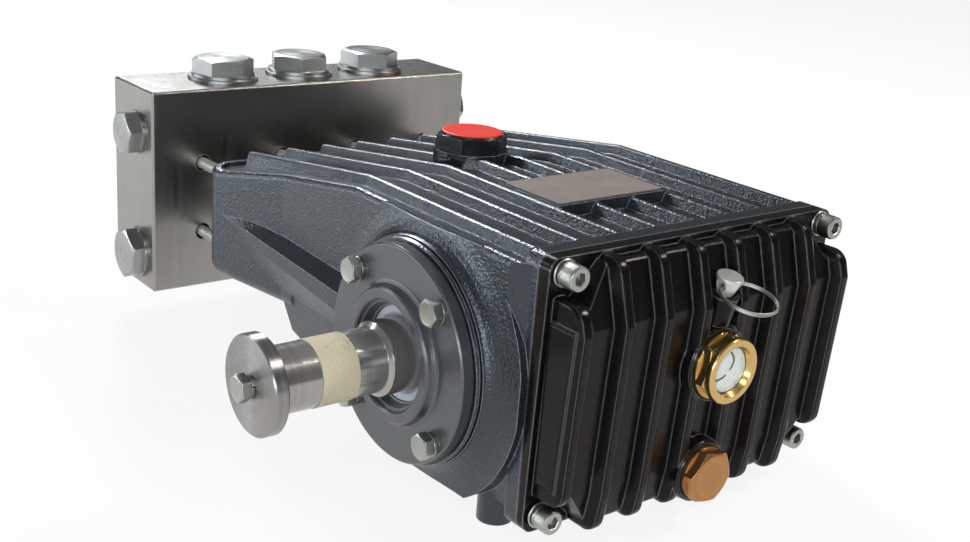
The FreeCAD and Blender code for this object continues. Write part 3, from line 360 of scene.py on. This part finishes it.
def brushed_group():
    """Fine parallel scratches: noise stretched along one axis, as height and as a mask of streaks, with a
    mask of clouds."""
    g, i, o = new_group("brushed_lines",
                        [("Vector", VECTOR, None), ("Stretch", VECTOR, (1, 1, 1)),
                         ("Line Size", VALUE, 0.0004)],
                        [("Height", VALUE), ("Streaks", VALUE), ("Clouds", VALUE)])
    pulled = node(g, "ShaderNodeVectorMath", [(0, i.outputs["Vector"]), (1, i.outputs["Stretch"])],
                  operation="MULTIPLY").outputs[0]
    scale = maths(g, "DIVIDE", 1.0, i.outputs["Line Size"])
    height = noise(g, pulled, scale, 2.0)
    streaks = noise(g, pulled, maths(g, "MULTIPLY", scale, 0.12), 3.0)
    clouds = noise(g, i.outputs["Vector"], 22.0, 3.0)
    g.links.new(height, o.inputs["Height"])
    g.links.new(streaks, o.inputs["Streaks"])
    g.links.new(clouds, o.inputs["Clouds"])
    return g


def lathe_group():
    """Turned metal: rings by the distance from the work's axis and by the place along it."""
    g, i, o = new_group("lathe_rings",
                        [("Across", VECTOR, None), ("Along", VALUE, None), ("Ring Size", VALUE, 0.0003)],
                        [("Height", VALUE), ("Bands", VALUE)])
    away = node(g, "ShaderNodeVectorMath", [(0, i.outputs["Across"])], operation="LENGTH").outputs["Value"]
    place = node(g, "ShaderNodeCombineXYZ", [(0, away), (1, i.outputs["Along"])]).outputs[0]
    scale = maths(g, "DIVIDE", 1.0, i.outputs["Ring Size"])
    height = noise(g, place, scale, 1.0)
    bands = noise(g, place, maths(g, "MULTIPLY", scale, 0.15), 2.0)
    g.links.new(height, o.inputs["Height"])
    g.links.new(bands, o.inputs["Bands"])
    return g


def dust_group():
    """Thin dust and finger marks: soft patches with a few fine specks."""
    g, i, o = new_group("dust_marks", [("Vector", VECTOR, None), ("Amount", VALUE, 0.5)],
                        [("Dust", VALUE), ("Smears", VALUE)])
    soft = noise(g, i.outputs["Vector"], 55.0, 4.0)
    fine = noise(g, i.outputs["Vector"], 1500.0, 1.0)
    specks = stepped(g, fine, 0.68, 0.74)
    dust = maths(g, "MULTIPLY", maths(g, "MULTIPLY", soft, specks), i.outputs["Amount"])
    smears = stepped(g, soft, 0.35, 0.7)
    g.links.new(dust, o.inputs["Dust"])
    g.links.new(smears, o.inputs["Smears"])
    return g


GRAIN = cast_grain_group()
EDGES = edge_group()
BRUSHED = brushed_group()
LATHE = lathe_group()
DUST = dust_group()


# Materials

dark_dust = (0.2, 0.19, 0.18)
pale_dust = (0.5, 0.48, 0.45)


def shade(colour, gain, top=1.0):
    """A colour times a gain, held under a limit."""
    return tuple(min(c * gain, top) for c in colour)


def new_material(name):
    """A material, its node tree and its Object coordinates."""
    m = bpy.data.materials.new(name)
    m.use_nodes = True
    t = m.node_tree
    return m, t, t.nodes.new("ShaderNodeTexCoord").outputs["Object"]


def set_shader(material, **values):
    """Feed the inputs of a material's Principled shader. Underscores in their names stand for spaces."""
    tree = material.node_tree
    shader = tree.nodes["Principled BSDF"]
    for key, value in values.items():
        feed(tree, shader.inputs[key.replace("_", " ")], value)


def place_group(tree, group, **values):
    """Put a node group in a material and feed its inputs. Underscores in their names stand for spaces."""
    inputs = [(key.replace("_", " "), value) for key, value in values.items()]
    return node(tree, "ShaderNodeGroup", inputs, node_tree=group).outputs


def blend_colour(tree, factor, a, b):
    """Mix two colours, each a socket or a plain colour."""
    a, b = (c + (1.0,) if isinstance(c, tuple) else c for c in (a, b))
    return node(tree, "ShaderNodeMix", [(0, factor), (6, a), (7, b)], data_type="RGBA").outputs[2]


def spread(tree, value, low, high):
    """Carry a 0 to 1 value to a range."""
    return node(tree, "ShaderNodeMapRange", [(0, value), (3, low), (4, high)]).outputs[0]


def bumped(tree, height, depth, normal=None):
    """A Bump node at full strength with its depth in metres."""
    made = node(tree, "ShaderNodeBump", [("Strength", 1.0), ("Distance", depth), ("Height", height)])
    if normal is not None:
        tree.links.new(normal, made.inputs["Normal"])
    return made.outputs[0]


def black_casting(name, base, edge_wear_and_highlight, grain, depth, rough, spec, radius, specks, roughen, sheen):
    """Black painted casting: grain under the paint, edges rounded and painted lighter as worn paint and
    painted highlight, painted glints dense on the edges and sparse on the faces, and dust.
    """
    m, t, where = new_material(name)
    g = place_group(t, GRAIN, Vector=where, Grain_Size=grain, Speck_Amount=specks)
    e = place_group(t, EDGES, Vector=where, Radius=radius, Roughen=roughen)
    d = place_group(t, DUST, Vector=where, Amount=0.5)
    tone = blend_colour(t, g["Patches"], shade(base, 0.8), shade(base, 1.25))
    # Edges lighter: worn paint and painted highlight
    tone = blend_colour(t, e["Edge"], tone, edge_wear_and_highlight)
    # Painted glints: bright specks, dense on the edges and sparse on the faces
    painted_glint = maths(t, "MULTIPLY", g["Specks"], spread(t, e["Edge"], specks, 1.0))
    tone = blend_colour(t, painted_glint, tone, shade(edge_wear_and_highlight, 4, 0.8))
    tone = blend_colour(t, maths(t, "MULTIPLY", d["Dust"], 0.35), tone, dark_dust)
    set_shader(m, Base_Color=tone,
               Roughness=spread(t, g["Patches"], rough - 0.06, rough + 0.08),
               Normal=bumped(t, g["Height"], depth, e["Normal"]),
               Coat_Weight=maths(t, "MULTIPLY", e["Edge"], sheen),
               Coat_IOR=2.0, Coat_Roughness=rough * 0.6, Specular_IOR_Level=spec)
    return m


def brushed_metal(name, dark, light, stretch, line, rough, depth, radius=0.0006, edge_wear_and_highlight=None):
    """Ground metal: fine scratches one way, cloudy tone, and edges painted bright as a highlight."""
    m, t, where = new_material(name)
    b = place_group(t, BRUSHED, Vector=where, Stretch=stretch, Line_Size=line)
    e = place_group(t, EDGES, Vector=where, Radius=radius, Roughen=0.3)
    tone = blend_colour(t, b["Clouds"], dark, light)
    tone = blend_colour(t, maths(t, "MULTIPLY", b["Streaks"], 0.3), tone, shade(dark, 0.8))
    # Painted highlight: edges lighter than the metal
    tone = blend_colour(t, maths(t, "MULTIPLY", e["Edge"], 0.7), tone, edge_wear_and_highlight or shade(light, 1.5, 0.95))
    set_shader(m, Base_Color=tone,
               Roughness=spread(t, b["Streaks"], rough - 0.07, rough + 0.1),
               Normal=bumped(t, b["Height"], depth, e["Normal"]),
               Metallic=1.0)
    return m


def lathe_metal(name, dark, light, axis, centre, ring, rough, depth, stretch):
    """Turned metal: rings about an axis through a centre, bands of tone, edges painted lighter as a
    highlight, and highlights drawn out across the rings."""
    m, t, where = new_material(name)
    moved = node(t, "ShaderNodeMapping", [("Vector", where), ("Location", tuple(-c for c in centre))])
    parts = node(t, "ShaderNodeSeparateXYZ", [(0, moved.outputs[0])]).outputs
    flat = node(t, "ShaderNodeCombineXYZ", [(k, parts[k]) for k in range(3) if k != axis]).outputs[0]
    r = place_group(t, LATHE, Across=flat, Along=parts[axis], Ring_Size=ring)
    e = place_group(t, EDGES, Vector=where, Radius=0.0005, Roughen=0.1)
    tone = blend_colour(t, r["Bands"], dark, light)
    # Painted highlight: edges lighter
    tone = blend_colour(t, maths(t, "MULTIPLY", e["Edge"], 0.5), tone, shade(light, 1.4, 0.95))
    set_shader(m, Base_Color=tone,
               Roughness=spread(t, r["Bands"], rough - 0.04, rough + 0.06),
               Normal=bumped(t, r["Height"], depth, e["Normal"]),
               Metallic=1.0, Anisotropic=stretch)
    shaft_line = tuple(1.0 if k == axis else 0.0 for k in range(3))
    around = node(t, "ShaderNodeVectorMath", [(0, shaft_line), (1, flat)], operation="CROSS_PRODUCT")
    face = node(t, "ShaderNodeNewGeometry").outputs["Normal"]
    across = node(t, "ShaderNodeVectorMath", [(0, face), (1, around.outputs[0])], operation="CROSS_PRODUCT")
    set_shader(m, Tangent=across.outputs[0])
    return m


def plain_piece(name, base, other, grain, depth, rough, spec=0.5):
    """Moulded, pressed or rubber piece: a small change of tone, a fine skin and dust."""
    m, t, where = new_material(name)
    g = place_group(t, GRAIN, Vector=where, Grain_Size=grain, Speck_Amount=0.1)
    e = place_group(t, EDGES, Vector=where, Radius=0.0005, Roughen=0.3)
    d = place_group(t, DUST, Vector=where, Amount=0.8)
    tone = blend_colour(t, g["Patches"], base, other)
    tone = blend_colour(t, maths(t, "MULTIPLY", d["Dust"], 0.4), tone, pale_dust)
    set_shader(m, Base_Color=tone,
               Roughness=spread(t, d["Smears"], rough - 0.05, rough + 0.08),
               Normal=bumped(t, g["Height"], depth, e["Normal"]),
               Specular_IOR_Level=spec)
    return m


def along_axis(name, node_name, axis, dark, light, ring, rough, depth):
    """Turned metal whose rings run about the middle of one CAD node."""
    low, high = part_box(node_name)
    centre = tuple((low[k] + high[k]) / 2 for k in range(3))
    return lathe_metal(name, dark, light, axis, centre, ring, rough, depth, stretch=0.25)


shaft_centre = (0.0, crank_y, crank_z)
sight_centre = (0.0, 0.0, sight_axis_z)

# The edge colours of these castings are worn paint and painted highlight
CASE = black_casting("black_cast_enamel", base=(0.009, 0.0105, 0.0135), edge_wear_and_highlight=(0.20, 0.215, 0.24),
                     grain=0.0012, depth=0.00042, rough=0.28, spec=0.74, radius=0.0008, specks=0.15,
                     roughen=0.8, sheen=1.0)
# Blue tint of the crankcase's reflections: painted reflection colour of the surroundings
set_shader(CASE, Specular_Tint=(0.84, 0.94, 1.0, 1.0))
COVER = black_casting("black_cover_paint", base=(0.0045, 0.0038, 0.0037), edge_wear_and_highlight=(0.075, 0.079, 0.088),
                      grain=0.0030, depth=0.00005, rough=0.20, spec=0.17, radius=0.0016, specks=0.0,
                      roughen=0.15, sheen=1.0)
# Warm tint of the cover's reflections: painted reflection colour of the surroundings
set_shader(COVER, Specular_Tint=(1.0, 0.90, 0.87, 1.0))
BEARING = black_casting("black_machined_cover", base=(0.034, 0.036, 0.040), edge_wear_and_highlight=(0.11, 0.11, 0.12),
                        grain=0.0020, depth=0.00002, rough=0.30, spec=1.0, radius=0.0007, specks=0.0,
                        roughen=0.15, sheen=0.9)
# The golden edge colour of the block is a painted highlight, a warm reflection along its edges
BLOCK = brushed_metal("ground_block_steel", dark=(0.25, 0.242, 0.225), light=(0.40, 0.39, 0.37),
                      stretch=(1.0, 1.0, 0.04), line=0.0005, rough=0.30, depth=0.00001, radius=0.0014,
                      edge_wear_and_highlight=(0.80, 0.68, 0.44))
BRIGHT = brushed_metal("bright_rod_steel", dark=(0.60, 0.59, 0.56), light=(0.76, 0.75, 0.72),
                       stretch=(1.0, 0.05, 1.0), line=0.0004, rough=0.30, depth=0.000004)
set_shader(BRIGHT, Metallic=0.6)
ZINC = brushed_metal("zinc_plated_steel", dark=(0.30, 0.31, 0.28), light=(0.46, 0.465, 0.43),
                     stretch=(1.0, 1.0, 1.0), line=0.0009, rough=0.34, depth=0.000008, radius=0.0003)
SHAFT = lathe_metal("turned_shaft_steel", dark=(0.27, 0.255, 0.24), light=(0.42, 0.40, 0.38), axis=0,
                    centre=shaft_centre, ring=0.0003, rough=0.17, depth=0.0000006, stretch=0.15)
set_shader(SHAFT, Metallic=0.75)
WASHER = lathe_metal("turned_washer_steel", dark=(0.22, 0.21, 0.20), light=(0.38, 0.37, 0.36), axis=0,
                     centre=shaft_centre, ring=0.0003, rough=0.32, depth=0.000001, stretch=0.85)
BRASS = lathe_metal("machined_brass", dark=(0.50, 0.33, 0.115), light=(0.70, 0.50, 0.21), axis=1,
                    centre=sight_centre, ring=0.0004, rough=0.26, depth=0.000001, stretch=0.4)
DRAIN = along_axis("aged_brass", "drain_plug", axis=1, dark=(0.34, 0.15, 0.055), light=(0.52, 0.27, 0.10),
                   ring=0.0004, rough=0.36, depth=0.000001)
GASKET = plain_piece("gasket_sheet", base=(0.030, 0.028, 0.026), other=(0.07, 0.065, 0.06),
                     grain=0.0006, depth=0.00006, rough=0.6)
RUBBER = plain_piece("seal_rubber", base=(0.38, 0.40, 0.42), other=(0.46, 0.48, 0.50),
                     grain=0.0008, depth=0.00002, rough=0.45)
PLASTIC = plain_piece("black_moulded_plastic", base=(0.006, 0.006, 0.007), other=(0.011, 0.011, 0.012),
                      grain=0.0008, depth=0.00002, rough=0.25)
RED = plain_piece("red_moulded_plastic", base=(0.74, 0.026, 0.009), other=(0.80, 0.036, 0.013),
                  grain=0.0012, depth=0.00003, rough=0.5, spec=0.25)
PLATE = plain_piece("name_plate_metal", base=(0.245, 0.205, 0.18), other=(0.29, 0.245, 0.215),
                    grain=0.0006, depth=0.000005, rough=0.34)
DARK_ARCS = plain_piece("dark_arc_colour", base=(0.02, 0.02, 0.02), other=(0.03, 0.03, 0.03),
                   grain=0.0008, depth=0.00001, rough=0.5)
ENAMEL = plain_piece("white_reflector_enamel", base=(0.80, 0.82, 0.78), other=(0.86, 0.88, 0.84),
                     grain=0.0015, depth=0.00001, rough=0.3)


def tape_material():
    """Creped paper tape: ridges across the band from its own UV, in cream painted darker in the hollows of
    the ridges and lighter on their tops as painted shade and highlight, with patches and fine cracks.
    """
    m, t, where = new_material("creped_paper_tape")
    uv = t.nodes.new("ShaderNodeTexCoord").outputs["UV"]
    ridges = node(t, "ShaderNodeMapping", [("Vector", uv), ("Scale", (26.0, 1.6, 1.0))])
    crepe = noise(t, ridges.outputs[0], 8.0, 3.0)
    fibre = place_group(t, GRAIN, Vector=where, Grain_Size=0.0005, Speck_Amount=0.4)
    # Painted shade and highlight: the crepe's hollows darker, its ridges lighter
    tone = blend_colour(t, crepe, (0.34, 0.29, 0.17), (0.66, 0.60, 0.42))
    tone = blend_colour(t, maths(t, "MULTIPLY", fibre["Patches"], 0.4), tone, (0.66, 0.60, 0.45))
    cells = node(t, "ShaderNodeMapping", [("Vector", uv), ("Scale", (9.0, 2.6, 1.0))])
    warp = node(t, "ShaderNodeTexNoise", [("Vector", uv), ("Scale", 14.0), ("Detail", 2.0)]).outputs["Color"]
    bent = node(t, "ShaderNodeVectorMath", [(0, cells.outputs[0]), (1, warp)], operation="ADD")
    crack = node(t, "ShaderNodeTexVoronoi", [("Vector", bent.outputs[0]), ("Scale", 1.3)],
                 feature="DISTANCE_TO_EDGE")
    cracked = maths(t, "SUBTRACT", 1.0, stepped(t, crack.outputs[0], 0.0, 0.05))
    in_patches = stepped(t, fibre["Patches"], 0.42, 0.58)
    cracked = maths(t, "MULTIPLY", cracked, in_patches)
    tone = blend_colour(t, maths(t, "MULTIPLY", cracked, 0.75), tone, (0.24, 0.20, 0.12))
    roughness = spread(t, crepe, 0.62, 0.85)
    height = maths(t, "ADD", crepe, maths(t, "MULTIPLY", fibre["Height"], 0.3))
    set_shader(m, Base_Color=tone, Roughness=roughness, Normal=bumped(t, height, 0.00025))
    return m


def glass_material():
    """Clear window: glass with a faint unevenness and a few smears."""
    m, t, where = new_material("window_glass")
    d = place_group(t, DUST, Vector=where, Amount=0.4)
    set_shader(m, Base_Color=(0.97, 0.99, 0.98, 1.0), Transmission_Weight=1.0, IOR=1.45,
               Roughness=spread(t, d["Smears"], 0.02, 0.08),
               Normal=bumped(t, d["Smears"], 0.00001))
    return m


TAPE = tape_material()
GLASS = glass_material()

# Finish of each CAD node. The valve plugs, port plugs and packing sleeves get turned steel in the loop below,
# the valve plugs a copy five percent darker as painted shade.
finish_of = {
    "crankcase": CASE, "rear_cover": COVER, "rear_gasket": GASKET, "nameplate": PLATE,
    "drive_bearing_cover": BEARING, "drive_cover_shim": GASKET, "shaft_oil_seal": RUBBER,
    "blind_bearing_cover": BEARING, "blind_cover_shim": GASKET,
    "drive_shaft": SHAFT, "shaft_tape": TAPE, "shaft_end_washer": WASHER, "shaft_end_bolt": ZINC,
    "manifold": BLOCK, "upper_rods": BRIGHT, "lower_rods": BRIGHT,
    "oil_filler_cap": PLASTIC, "filler_cap_disc": RED,
    "sight_glass_body": BRASS, "sight_glass_window": GLASS, "drain_plug": DRAIN,
    "dipstick": BRIGHT, "pull_ring": ZINC,
}
for name, made in nodes.items():
    finish = finish_of.get(name)
    if finish is None:
        axis = 2 if name.startswith("valve") else 1 if name.startswith("packing") else 0
        # Valve plugs: a darker copy of the turned steel, painted shade against the lamp light on their tops
        gain = 0.95 if name.startswith("valve") else 1.0
        finish = along_axis("turned_" + name, name, axis, dark=shade((0.27, 0.27, 0.26), gain),
                            light=shade((0.42, 0.42, 0.41), gain), ring=0.0005, rough=0.34, depth=0.0000015)
    made.data.materials.clear()
    made.data.materials.append(finish)


# Pieces


def off_face(start, out, lift):
    """A point moved off a face along its outward direction."""
    return start + np.array(out) * lift


def bearing_bolts(sx, turns):
    """Four hexagon bolts on the bolt circle, each on its split washer and left at its own turn in degrees."""
    heads, rings = [], []
    out = (sx, 0.0, 0.0)
    for k, turn in enumerate(turns):
        a = np.radians(45 + 90 * k)
        start = np.array([sx * bearing_face_x, crank_y + bearing_bolt_circle_r * np.cos(a),
                          crank_z + bearing_bolt_circle_r * np.sin(a)])
        rings.append(spring_ring(*bearing_spring, start, out, np.radians(turn * 3)))
        head_start = off_face(start, out, bolt_head_lift)
        heads.append(hexagon_head(hexagon_across, bolt_head_height, head_start, out, np.radians(turn)))
    return heads, rings


for side, sx, turns in (("drive", -1.0, (8, 27, 14, 50)), ("blind", 1.0, (20, 5, 44, 31))):
    heads, rings = bearing_bolts(sx, turns)
    add_piece(side + "_cover_bolts", heads, "pump", ZINC, 25.0)
    add_piece(side + "_cover_spring_washers", rings, "pump", ZINC, 40.0)

screws, screw_rings = [], []
screw_rows = ((cover_screw_top_z, cover_flange_top_y, 0), (cover_screw_low_z, cover_flange_low_y, 25))
for sx, turn in ((-1, 10), (1, 40)):
    for z, y, shift in screw_rows:
        start = np.array([sx * cover_screw_x, y, z])
        ring_start = off_face(start, toward_rear, screw_spring_lift)
        head_start = off_face(start, toward_rear, screw_head_lift)
        screw_rings.append(flat_washer(*screw_washer, start, toward_rear))
        screw_rings.append(spring_ring(*screw_spring, ring_start, toward_rear, np.radians(turn * 4)))
        screws.append(socket_head(*screw_head, head_start, toward_rear, np.radians(turn + shift)))
add_piece("rear_cover_screws", screws, "pump", ZINC, 28.0)
add_piece("rear_cover_screw_washers", screw_rings, "pump", ZINC, 40.0)

end_start = np.array([shaft_end_x, crank_y, crank_z])
end_head = hexagon_head(hexagon_across, end_bolt_height, off_face(end_start, toward_drive, end_bolt_lift),
                        toward_drive, np.radians(12))
end_ring = spring_ring(*end_bolt_spring, end_start, toward_drive, np.radians(200))
end_bolt = add_piece("shaft_end_bolt_head", [end_head, end_ring], "crankshaft", ZINC, 25.0)
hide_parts("shaft_end_bolt")


def split_ring():
    """Split ring: a wire on two turns of a flat helix about the ring's centre, side by side and touching. It
    crosses from one turn to the other by a hyperbolic tangent."""
    out = np.array([0.0, -np.cos(ring_tilt), -np.sin(ring_tilt)])
    across = np.array([1.0, 0.0, 0.0])
    normal = np.array([0.0, -np.sin(ring_tilt), np.cos(ring_tilt)])
    centre = eye + out * ring_r
    a = np.linspace(np.radians(20), np.radians(20 + 715), 320)
    turn = (a - a[0]) / (2 * np.pi)
    step = 0.5 + 0.5 * np.tanh((turn - 1.0) * 14)
    lift = ring_wire_r * (2 * step - 1)
    path = centre + ring_r * (np.cos(a)[:, None] * out + np.sin(a)[:, None] * across) + lift[:, None] * normal
    return tube(path, ring_wire_r)


ring = add_piece("split_pull_ring", [split_ring()], "ring", ZINC, 60.0)
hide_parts("pull_ring")


def tape_band():
    """Tape: a thin rectangle round the shaft. Its outer radius adds a sum of cosines for the crepe and a
    smooth step where a second layer lies, and its two edges follow sums of cosines round the shaft."""
    na, nw = 900, 30
    under, one_layer, second_layer, crepe_height = 0.00006, 0.00022, 0.00013, 0.00012
    edge_inset, edge_wave = 0.0003, 0.00035
    second_from, second_to = 2.1, 5.2
    crepe_waves, edge_waves = 14, 10
    a = np.linspace(0, 2 * np.pi, na, endpoint=False)
    w = np.linspace(0, 1, nw)
    aa, ww = np.meshgrid(a, w, indexing="ij")
    rng = np.random.default_rng(7)
    crepe = np.zeros_like(aa)
    edge0 = np.zeros(na)
    edge1 = np.zeros(na)
    for _ in range(crepe_waves):
        n = rng.integers(40, 190)
        wave = np.cos(n * aa + rng.uniform(0, 6.28) + rng.uniform(-3, 3) * ww)
        crepe += wave * rng.uniform(0.3, 1.0) / crepe_waves
    for _ in range(edge_waves):
        n = rng.integers(2, 60)
        edge0 += np.cos(n * a + rng.uniform(0, 6.28)) * rng.uniform(0.2, 1.0) / edge_waves
        edge1 += np.cos(n * a + rng.uniform(0, 6.28)) * rng.uniform(0.2, 1.0) / edge_waves
    second = (0.5 + 0.5 * np.tanh((aa - second_from) * 60)) * (0.5 + 0.5 * np.tanh((second_to - aa) * 60))
    outer = shaft_r + one_layer + second_layer * second + crepe_height * crepe
    near = tape_x0 + edge_inset + edge_wave * edge0
    far = tape_x1 - edge_inset + edge_wave * edge1
    x = near[:, None] * (1 - ww) + far[:, None] * ww
    inner = np.full_like(outer, shaft_r + under)
    radius = np.concatenate([outer, inner[:, ::-1]], axis=1)
    along = np.concatenate([x, x[:, ::-1]], axis=1)
    y = crank_y + radius * np.cos(aa[:, :1])
    z = crank_z + radius * np.sin(aa[:, :1])
    return grid(np.stack([along, y, z], axis=-1), wrap_u=True)


def wrap_uv(piece):
    """UV map of the tape: the share of a turn about the shaft, and the share of the width along it."""
    mesh = piece.data
    layer = mesh.uv_layers.new(name="band")
    corner = np.empty(len(mesh.loops), dtype=np.int32)
    mesh.loops.foreach_get("vertex_index", corner)
    place = np.empty(len(mesh.vertices) * 3)
    mesh.vertices.foreach_get("co", place)
    place = place.reshape(-1, 3)
    around = np.arctan2(place[:, 2] - crank_z, place[:, 1] - crank_y) / (2 * np.pi) + 0.5
    uv = np.stack([around[corner], (place[corner, 0] - tape_x0) / (tape_x1 - tape_x0)], axis=-1)
    layer.data.foreach_set("uv", uv.ravel())


tape = add_piece("masking_tape_band", [tape_band()], "crankshaft", TAPE, 60.0)
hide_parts("shaft_tape")
wrap_uv(tape)

sight_back = (0.0, sight_back_y, sight_axis_z)
lens_r = sight_window_r - 0.00005
lens = add_piece("sight_glass_lens", [turned(
    [(0.0009, 0.0), (0.0009, sight_window_r - 0.0003), (0.0012, lens_r), (0.0019, lens_r),
     (0.0021, sight_window_r - 0.0004), (0.0024, sight_window_r * 0.5), (0.0025, 0.0)],
    sight_back, toward_rear)], "pump", GLASS, 40.0)
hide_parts("sight_glass_window")
reflector_r = sight_window_r - 0.0001
add_piece("sight_glass_reflector", [turned(
    [(0.0, 0.0), (0.0, reflector_r), (0.0005, reflector_r), (0.0005, sight_window_r - 0.0008), (0.0004, 0.0)],
    sight_back, toward_rear)], "pump", ENAMEL, 40.0)


def sight_stroke(points, half_width):
    """A dark arc on the reflector: a flat oval section carried along a parabola set by three points, and
    drawn to a point at both ends."""
    lift, rise, steps = 0.00054, 0.00006, 40
    p = np.array(points)
    s = np.linspace(0, 1, steps)[:, None]
    curve = p[0] * (1 - s) ** 2 + 2 * p[1] * s * (1 - s) + p[2] * s ** 2
    path = np.stack([curve[:, 0], np.full(steps, sight_back_y - lift), sight_axis_z + curve[:, 1]], axis=-1)
    tangent = np.gradient(path, axis=0)
    tangent /= np.linalg.norm(tangent, axis=1, keepdims=True)
    forward = np.array([0.0, 1.0, 0.0])
    side = np.cross(tangent, forward)
    a = np.linspace(0, 2 * np.pi, 12, endpoint=False)
    wide = half_width * np.sqrt(np.clip(1 - (2 * s - 1) ** 6, 0, 1))
    flat = (wide * np.cos(a))[..., None] * side[:, None]
    raised = (rise * np.sin(a))[None, :, None] * forward * (wide[..., None] > 1e-9)
    return grid(path[:, None] + flat + raised)


# Each dark arc: three points as (x, height over the sight axis), and its half width
dark_arc_lines = (([(-0.0002, 0.0096), (0.0058, 0.0048), (0.0001, -0.0006)], 0.0007),
              ([(-0.0108, -0.0041), (-0.0058, -0.0052), (-0.0016, -0.0023)], 0.0007),
              ([(-0.0100, 0.0035), (-0.0094, 0.0042), (-0.0086, 0.0048)], 0.0006))
dark_arcs = [sight_stroke(points, half_width) for points, half_width in dark_arc_lines]
add_piece("sight_glass_dark_arcs", dark_arcs, "pump", DARK_ARCS, 60.0)


# Floor, light and camera


def stage_floor():
    """Pale floor: it glows white to the camera, in reflections and through glass, mixed with a share of matt
    floor that keeps the shadow."""
    size, glow_share = 14.0, 0.88
    m = bpy.data.materials.new("pale_floor")
    m.use_nodes = True
    t = m.node_tree
    t.nodes.clear()
    out = t.nodes.new("ShaderNodeOutputMaterial")
    matt = node(t, "ShaderNodeBsdfDiffuse", [("Color", (0.86, 0.85, 0.84, 1.0))])
    glow = node(t, "ShaderNodeEmission", [("Color", (1.0, 1.0, 1.0, 1.0)), ("Strength", 1.0)])
    path = t.nodes.new("ShaderNodeLightPath")
    seen = maths(t, "MAXIMUM", path.outputs["Is Camera Ray"], path.outputs["Is Glossy Ray"])
    seen = maths(t, "MAXIMUM", seen, path.outputs["Is Transmission Ray"])
    share = maths(t, "MULTIPLY", seen, glow_share)
    mix = node(t, "ShaderNodeMixShader", [(0, share), (1, matt.outputs[0]), (2, glow.outputs[0])])
    t.links.new(mix.outputs[0], out.inputs[0])
    mesh = bpy.data.meshes.new("floor")
    corners = [(-size, -size, 0), (size, -size, 0), (size, size, 0), (-size, size, 0)]
    mesh.from_pydata(corners, [], [(0, 1, 2, 3)])
    floor = bpy.data.objects.new("floor", mesh)
    bpy.context.scene.collection.objects.link(floor)
    floor.data.materials.append(m)


def soft_box(name, place, target, width, height, watts, colour):
    """An area lamp turned to its target."""
    lamp = bpy.data.lights.new(name, "AREA")
    lamp.shape = "RECTANGLE"
    lamp.size = width
    lamp.size_y = height
    lamp.energy = watts
    lamp.color = colour
    made = bpy.data.objects.new(name, lamp)
    bpy.context.scene.collection.objects.link(made)
    made.location = place
    made.rotation_euler = (Vector(target) - Vector(place)).to_track_quat("-Z", "Y").to_euler()


cool = (0.92, 0.96, 1.0)

stage_floor()
# High behind the block: the bright lines along the crests of the roof ribs
soft_box("ridge_box", (0.50, 1.80, 1.46), (0.0, 0.0, 0.14), 0.32, 0.62, 34, cool)
# Behind and left: weak, because a strong one makes blotches on the sides of the roof ribs
soft_box("back_left_box", (-1.15, 1.56, 0.95), (0.0, 0.0, 0.12), 0.5, 0.36, 6, cool)
# Low behind and left: the drive side of the crankcase and the end of the block
soft_box("left_low_box", (-2.1, 1.8, 0.16), (0.0, 0.05, 0.12), 1.8, 0.28, 19, (0.84, 0.92, 1.0))
# High in front and right: a slightly warm light on the upper faces and the rear cover
soft_box("front_top_box", (1.3, -0.8, 1.7), (0.0, 0.0, 0.12), 0.5, 0.32, 22, (1.0, 0.97, 0.92))
# Wide and low by the camera: the bright lines along the ribs of the rear cover
soft_box("camera_side_box", (-1.6, -1.65, 0.54), (0.0, -0.1, 0.12), 2.4, 0.42, 34, (0.88, 0.94, 1.0))
# High by the camera: a weak fill
soft_box("high_camera_box", (-1.3, -1.0, 1.6), (0.0, 0.0, 0.1), 0.5, 0.5, 8, (0.90, 0.95, 1.0))

# World: pale to the camera and through glass. To everything else it is a dim room, darkest a little above the
# horizon and brighter overhead.
world = bpy.data.worlds.new("soft_room")
bpy.context.scene.world = world
world.use_nodes = True
wt = world.node_tree
back = wt.nodes["Background"]
sky = node(wt, "ShaderNodeTexCoord").outputs["Generated"]
up = node(wt, "ShaderNodeSeparateXYZ", [(0, sky)]).outputs[2]
ramp = node(wt, "ShaderNodeValToRGB", [(0, maths(wt, "ADD", maths(wt, "MULTIPLY", up, 0.5), 0.5))])
ramp.color_ramp.elements[0].position = 0.5
ramp.color_ramp.elements[0].color = (0.16, 0.155, 0.15, 1.0)
ramp.color_ramp.elements[1].position = 0.95
ramp.color_ramp.elements[1].color = (0.30, 0.31, 0.32, 1.0)
ramp.color_ramp.elements.new(0.68).color = (0.07, 0.07, 0.075, 1.0)
seen = wt.nodes.new("ShaderNodeLightPath")
direct = maths(wt, "MAXIMUM", seen.outputs["Is Camera Ray"], seen.outputs["Is Transmission Ray"])
wt.links.new(blend_colour(wt, direct, ramp.outputs[0], (0.90, 0.90, 0.90)), back.inputs[0])
back.inputs[1].default_value = 1.0

# Camera as fitted to the photo: its place, and its axes across, up and back in the frame
camera_place = (-0.491295, -0.551209, 0.346889)
camera_right = (0.7904123, -0.6086227, 0.0694756)
camera_up = (0.1449979, 0.2960778, 0.9440940)
camera_back = (-0.5951673, -0.7361496, 0.3222726)
camera_data = bpy.data.cameras.new("photo_camera")
camera_data.sensor_width = 36.0
camera_data.lens = 47.829
camera_data.shift_x = 0.01481
camera_data.clip_start = 0.01
camera_data.clip_end = 60.0
camera = bpy.data.objects.new("photo_camera", camera_data)
bpy.context.scene.collection.objects.link(camera)
facing = Matrix((camera_right, camera_up, camera_back)).transposed()
camera.matrix_world = Matrix.Translation(Vector(camera_place)) @ facing.to_4x4()
bpy.context.scene.camera = camera
bpy.context.scene.view_settings.view_transform = "Standard"
